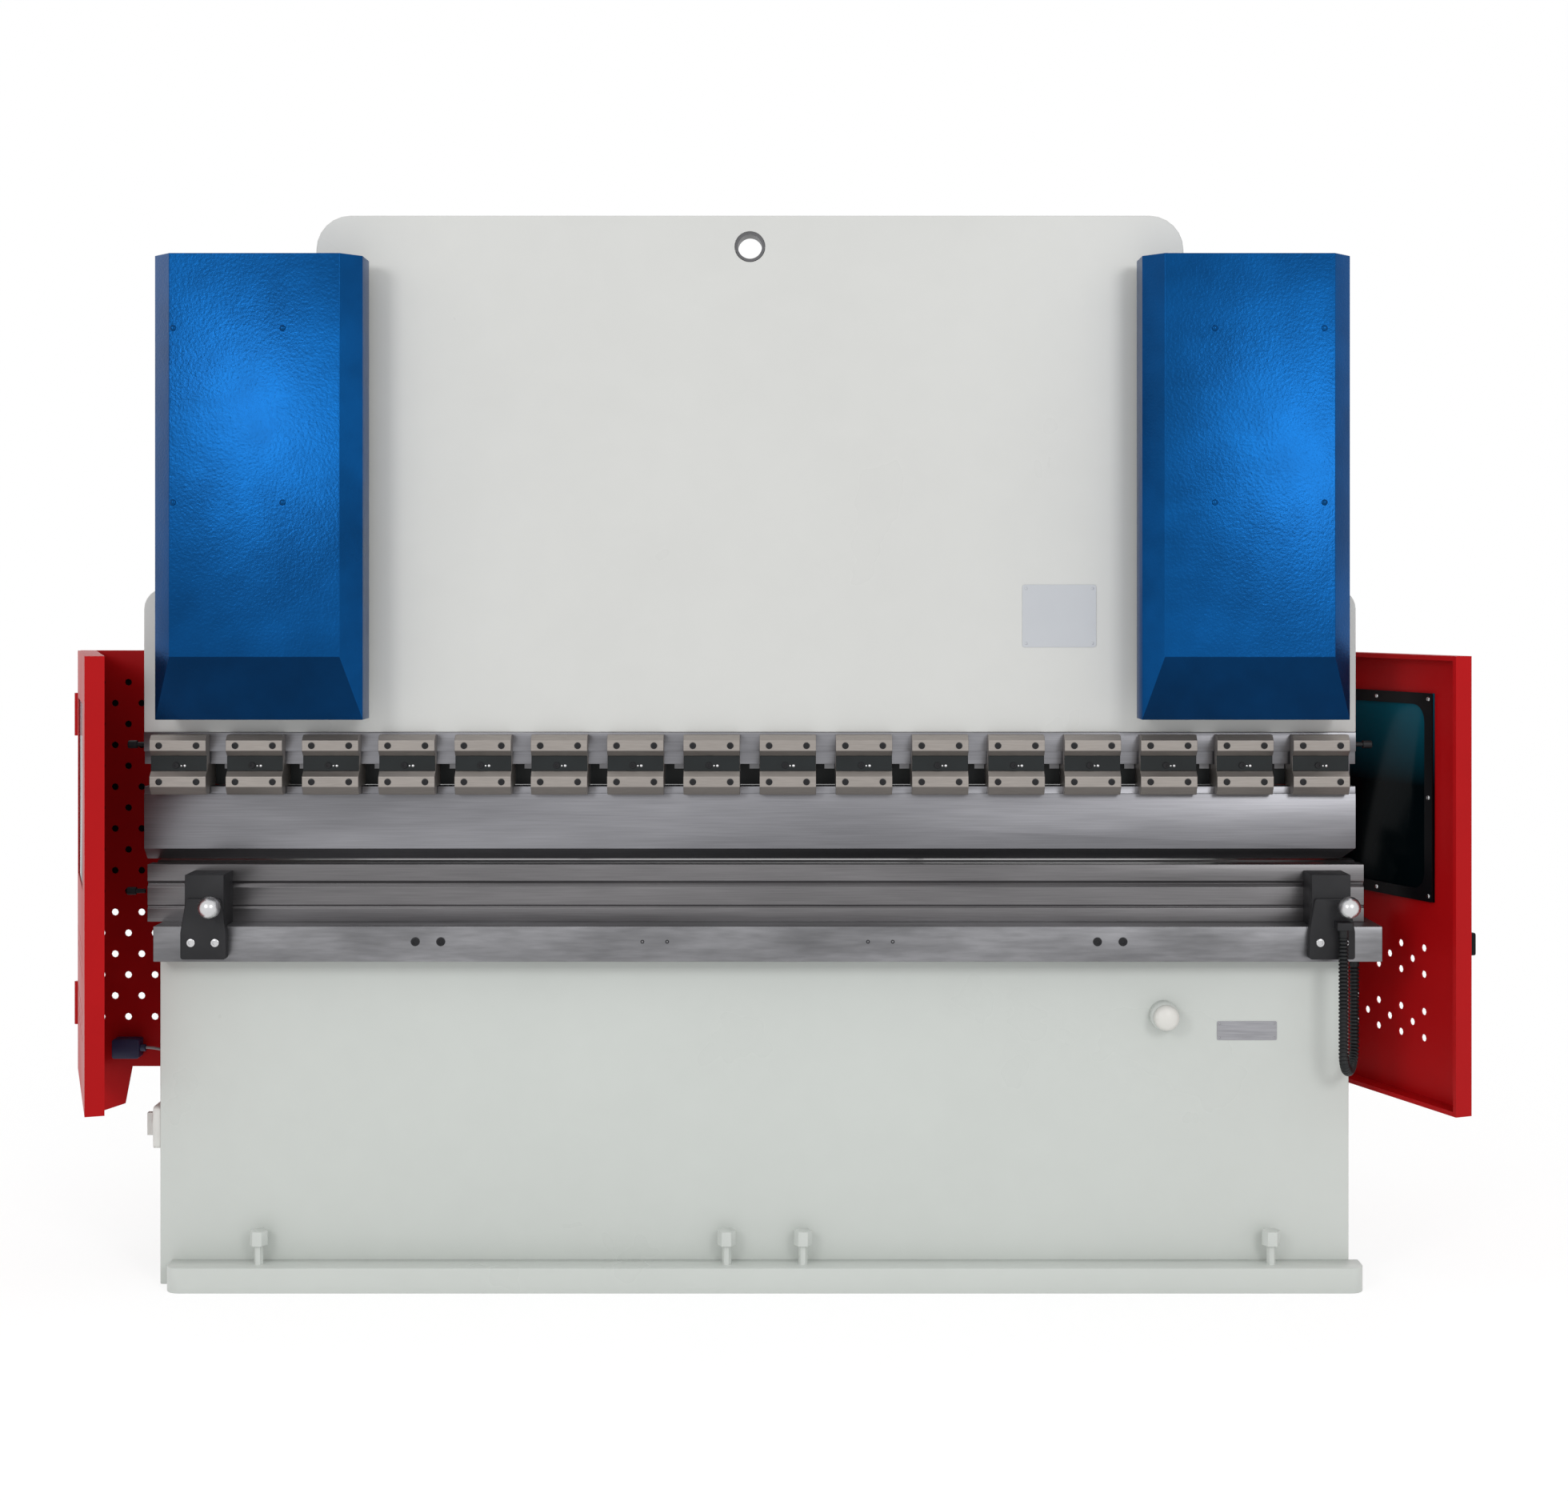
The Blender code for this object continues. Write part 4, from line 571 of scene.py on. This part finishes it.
HINGE_X = {"left": -1.903, "right": 1.594}
HINGE_Y = 0.370
DOOR_ANGLE = {"left": 19.0, "right": 22.4}
DOOR_WIDTH = 0.655
SHADE_SHEET_SIDE_INSETS = (0.030, 0.012)
SHADE_SHEET_TOP_INSET = 0.040
SHADE_SHEET_FOOT = 0.950
SHADE_SHEET_DEPTHS = (HINGE_Y + 0.0044, HINGE_Y + 0.0074)
WINDOW = {"start": 0.055, "end": 0.515, "low": 1.005, "high": 1.550}
WINDOW_EDGE = 0.030
WINDOW_FRAME = 0.004
WINDOW_CORNERS = (0.004, 0.045)
FRAME_FACE = 0.0093
WINDOW_SCREW = ((0.006, 0), (0.0048, 0.0021), (0.0008, 0.003))
HANDLE_FROM_EDGE = (0.006, 0.030)
HANDLE_HEIGHTS = (0.885, 0.943)
HANDLE_CORNER = 0.006
HANDLE_DEPTHS = (0.0005, 0.0185)
red = finish("red_enamel", (0.45, 0.004, 0.006), 0.40, spread=0.02, patch=0.05, grain=0.08, size=150,
             shine=0.12)
frame_black_and_hole_shade = finish("frame_black_and_hole_shade", (0.004, 0.004, 0.005), 0.40, spread=0.1, shine=0.12)
dress("left_guard_panel right_guard_panel", red, width=0.001, flat_sided=True)
dress("left_guard_door right_guard_door", red, width=0.0012, flat_sided=True)
dress("left_guard_window right_guard_window", tinted(), width=0.0004)
low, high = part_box("left_guard_panel")
# Painted shade: a black sheet behind the left panel darkens its upper holes.
shade_sheet = rectangle(low.x + SHADE_SHEET_SIDE_INSETS[0], high.x - SHADE_SHEET_SIDE_INSETS[1], SHADE_SHEET_FOOT,
                    high.z - SHADE_SHEET_TOP_INSET)
piece("panel_shade_sheet", [slab(shade_sheet, "Y", *SHADE_SHEET_DEPTHS)], frame_black_and_hole_shade, "frame", 0.0005)
edges = np.array([-WINDOW["end"], -WINDOW["start"], WINDOW["low"], WINDOW["high"]])
inset = np.array([1, -1, 1, -1])
outside = round_rectangle(*edges, WINDOW_CORNERS[0])
opening = round_rectangle(*(edges + WINDOW_EDGE * inset), WINDOW_CORNERS[1])
screw_y, screw_z = (edges + WINDOW_EDGE / 2 * inset).reshape(2, 2)
screw_spots = np.array([(0, y, z) for y in (screw_y[0], screw_y.mean(), screw_y[1])
                        for z in (screw_z[0], screw_z.mean(), screw_z[1])])[[0, 1, 2, 3, 5, 6, 7, 8]]
for side, inward in (("left", 1), ("right", -1)):
    face = inward * FRAME_FACE
    front = inward * (FRAME_FACE + WINDOW_FRAME)
    loops = np.stack([outside, outside, opening, opening])
    border = on_axis("X", loops[..., 0], loops[..., 1], np.array([face, front, front, face])[:, None])
    piece(side + "_window_frame", [hung(closed_grid(border, ring=True), side)], frame_black_and_hole_shade, side + "_door")
    head = turned([(r, front + inward * reach) for r, reach in WINDOW_SCREW], "X", (0, 0), 12)
    piece(side + "_window_screws", [hung(repeated(head, screw_spots), side)], screw_bright, side + "_door")
handle = round_rectangle(*(np.array(HANDLE_FROM_EDGE) - DOOR_WIDTH), *HANDLE_HEIGHTS, HANDLE_CORNER)
piece("right_door_handle", [hung(slab(handle, "X", *HANDLE_DEPTHS), "right")], frame_black_and_hole_shade, "right_door",
      0.001)

# Controls: the isolator on the bed's left end, the palm button on its front, the navy interlock switch.
# They are moulded plastic, screwed on from behind; the button's collar is painted with the bed.
switch_grey = finish("switch_grey", (0.75, 0.75, 0.72), 0.5, spread=0.04, grain=0.1)
cream = finish("cream_plastic", (0.78, 0.77, 0.73), 0.4, spread=0.02)
navy = finish("navy_plastic", (0.015, 0.02, 0.075), 0.45, spread=0.05, grain=0.15)
dress("switch_base switch_knob", switch_grey, width=0.001)
dress("button_collar", bed_paint, width=0.001)
dress("palm_button", cream, width=0.001)
dress("interlock_switch", navy, width=0.0015)

# Interlock lead: a thin grey plastic cable from the navy switch to the side frame, plugged in at the switch.
# It hangs with a slight sag of depth * (0.5 - 0.5 cos(2 pi t ** 0.9)), t from 0 to 1 along it.
CABLE_RADIUS = 0.004
CABLE_SAG = 0.026
cable_grey = finish("cable_grey", (0.33, 0.33, 0.34), 0.55, grain=0.1)
low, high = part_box("interlock_cable")
t = np.linspace(0, 1, 41)
sag = CABLE_SAG * (0.5 - 0.5 * np.cos(2 * math.pi * t ** 0.9))
cable = np.stack([low.x + (high.x - low.x) * t, np.full_like(t, (low.y + high.y) / 2),
                  high.z - CABLE_RADIUS - sag], 1)
line = bpy.data.curves.new("interlock_lead", "CURVE")
line.dimensions = "3D"
line.bevel_depth = CABLE_RADIUS
line.bevel_resolution = 4
line.use_fill_caps = True
spline = line.splines.new("POLY")
spline.points.add(len(t) - 1)
spline.points.foreach_set("co", np.column_stack([cable, np.ones_like(t)]).ravel())
line.materials.append(cable_grey)
lead = bpy.data.objects.new("interlock_lead", line)
scene.collection.objects.link(lead)
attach(lead, "frame")
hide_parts("interlock_cable")

# Back gauge and oil supply: a painted beam on ground rails, moved by polished screws, behind the die.
# The pump set is bolted on the tank: a motor in a cast blue housing with fins, and a bare steel valve block.
motor_blue = finish("motor_blue", (0.01, 0.09, 0.30), 0.4, spread=0.04)
dress("back_gauge", ivory, width=0.002)
dress("left_gauge_rail right_gauge_rail valve_block", stained_steel, width=0.001)
dress("left_gauge_screw right_gauge_screw", polished, width=0.0004)
dress("pump_motor", motor_blue, width=0.001)


# Floor and light: a pale floor that keeps the shadow, an even white surround and two soft lamps at the front.
# The camera, metal and glass see the surround at strength 1, and it lights the pieces at a plain level.
def seen_directly(tree, low, high):
    """high where a camera, glossy or transmission ray looks, and low for the light on the pieces."""
    path = tree.nodes.new("ShaderNodeLightPath")
    seen = path.outputs["Is Camera Ray"]
    for kind in ("Is Glossy Ray", "Is Transmission Ray"):
        either = tree.nodes.new("ShaderNodeMath")
        either.operation = "MAXIMUM"
        tree.links.new(seen, either.inputs[0])
        tree.links.new(path.outputs[kind], either.inputs[1])
        seen = either.outputs["Value"]
    level = tree.nodes.new("ShaderNodeMapRange")
    level.inputs["To Min"].default_value = low
    level.inputs["To Max"].default_value = high
    tree.links.new(seen, level.inputs["Value"])
    return level.outputs["Result"]


FLOOR_REACH = 30
FLOOR_SEEN = 0.6
FLOOR_GLOW = 1.2
SURROUND = 0.72
LAMPS = (("key", (-3.4, -6.0, 3.6), (-0.6, 0, 1.5), 1.6, 70),
         ("fill", (2.8, -6.0, 3.6), (0.6, 0, 1.5), 1.6, 70))
floor_paint = finish("floor_paint", (0.95, 0.95, 0.95), 0.8, spread=0.002, patch=0.002, shine=0.1)
tree = floor_paint.node_tree
glow = tree.nodes.new("ShaderNodeEmission")
glow.inputs["Strength"].default_value = FLOOR_GLOW
blend = tree.nodes.new("ShaderNodeMixShader")
tree.links.new(seen_directly(tree, 0, FLOOR_SEEN), blend.inputs["Fac"])
tree.links.new(tree.nodes["Principled BSDF"].outputs["BSDF"], blend.inputs[1])
tree.links.new(glow.outputs["Emission"], blend.inputs[2])
tree.links.new(blend.outputs["Shader"], tree.nodes["Material Output"].inputs["Surface"])
mesh = bpy.data.meshes.new("floor")
corners = np.column_stack([rectangle(-FLOOR_REACH, FLOOR_REACH, -FLOOR_REACH, FLOOR_REACH), np.zeros(4)])
mesh.from_pydata(corners, [], [[0, 1, 2, 3]])
mesh.materials.append(floor_paint)
floor = bpy.data.objects.new("floor", mesh)
scene.collection.objects.link(floor)
world = bpy.data.worlds.new("surround")
world.use_nodes = True
tree = world.node_tree
tree.nodes["Background"].inputs["Color"].default_value = (1, 1, 1, 1)
tree.links.new(seen_directly(tree, SURROUND, 1), tree.nodes["Background"].inputs["Strength"])
scene.world = world
for name, spot, aim, width, power in LAMPS:
    lamp = bpy.data.objects.new(name, bpy.data.lights.new(name, "AREA"))
    lamp.data.size = width
    lamp.data.energy = power
    lamp.location = spot
    lamp.rotation_euler = (Vector(aim) - Vector(spot)).to_track_quat("-Z", "Y").to_euler()
    scene.collection.objects.link(lamp)
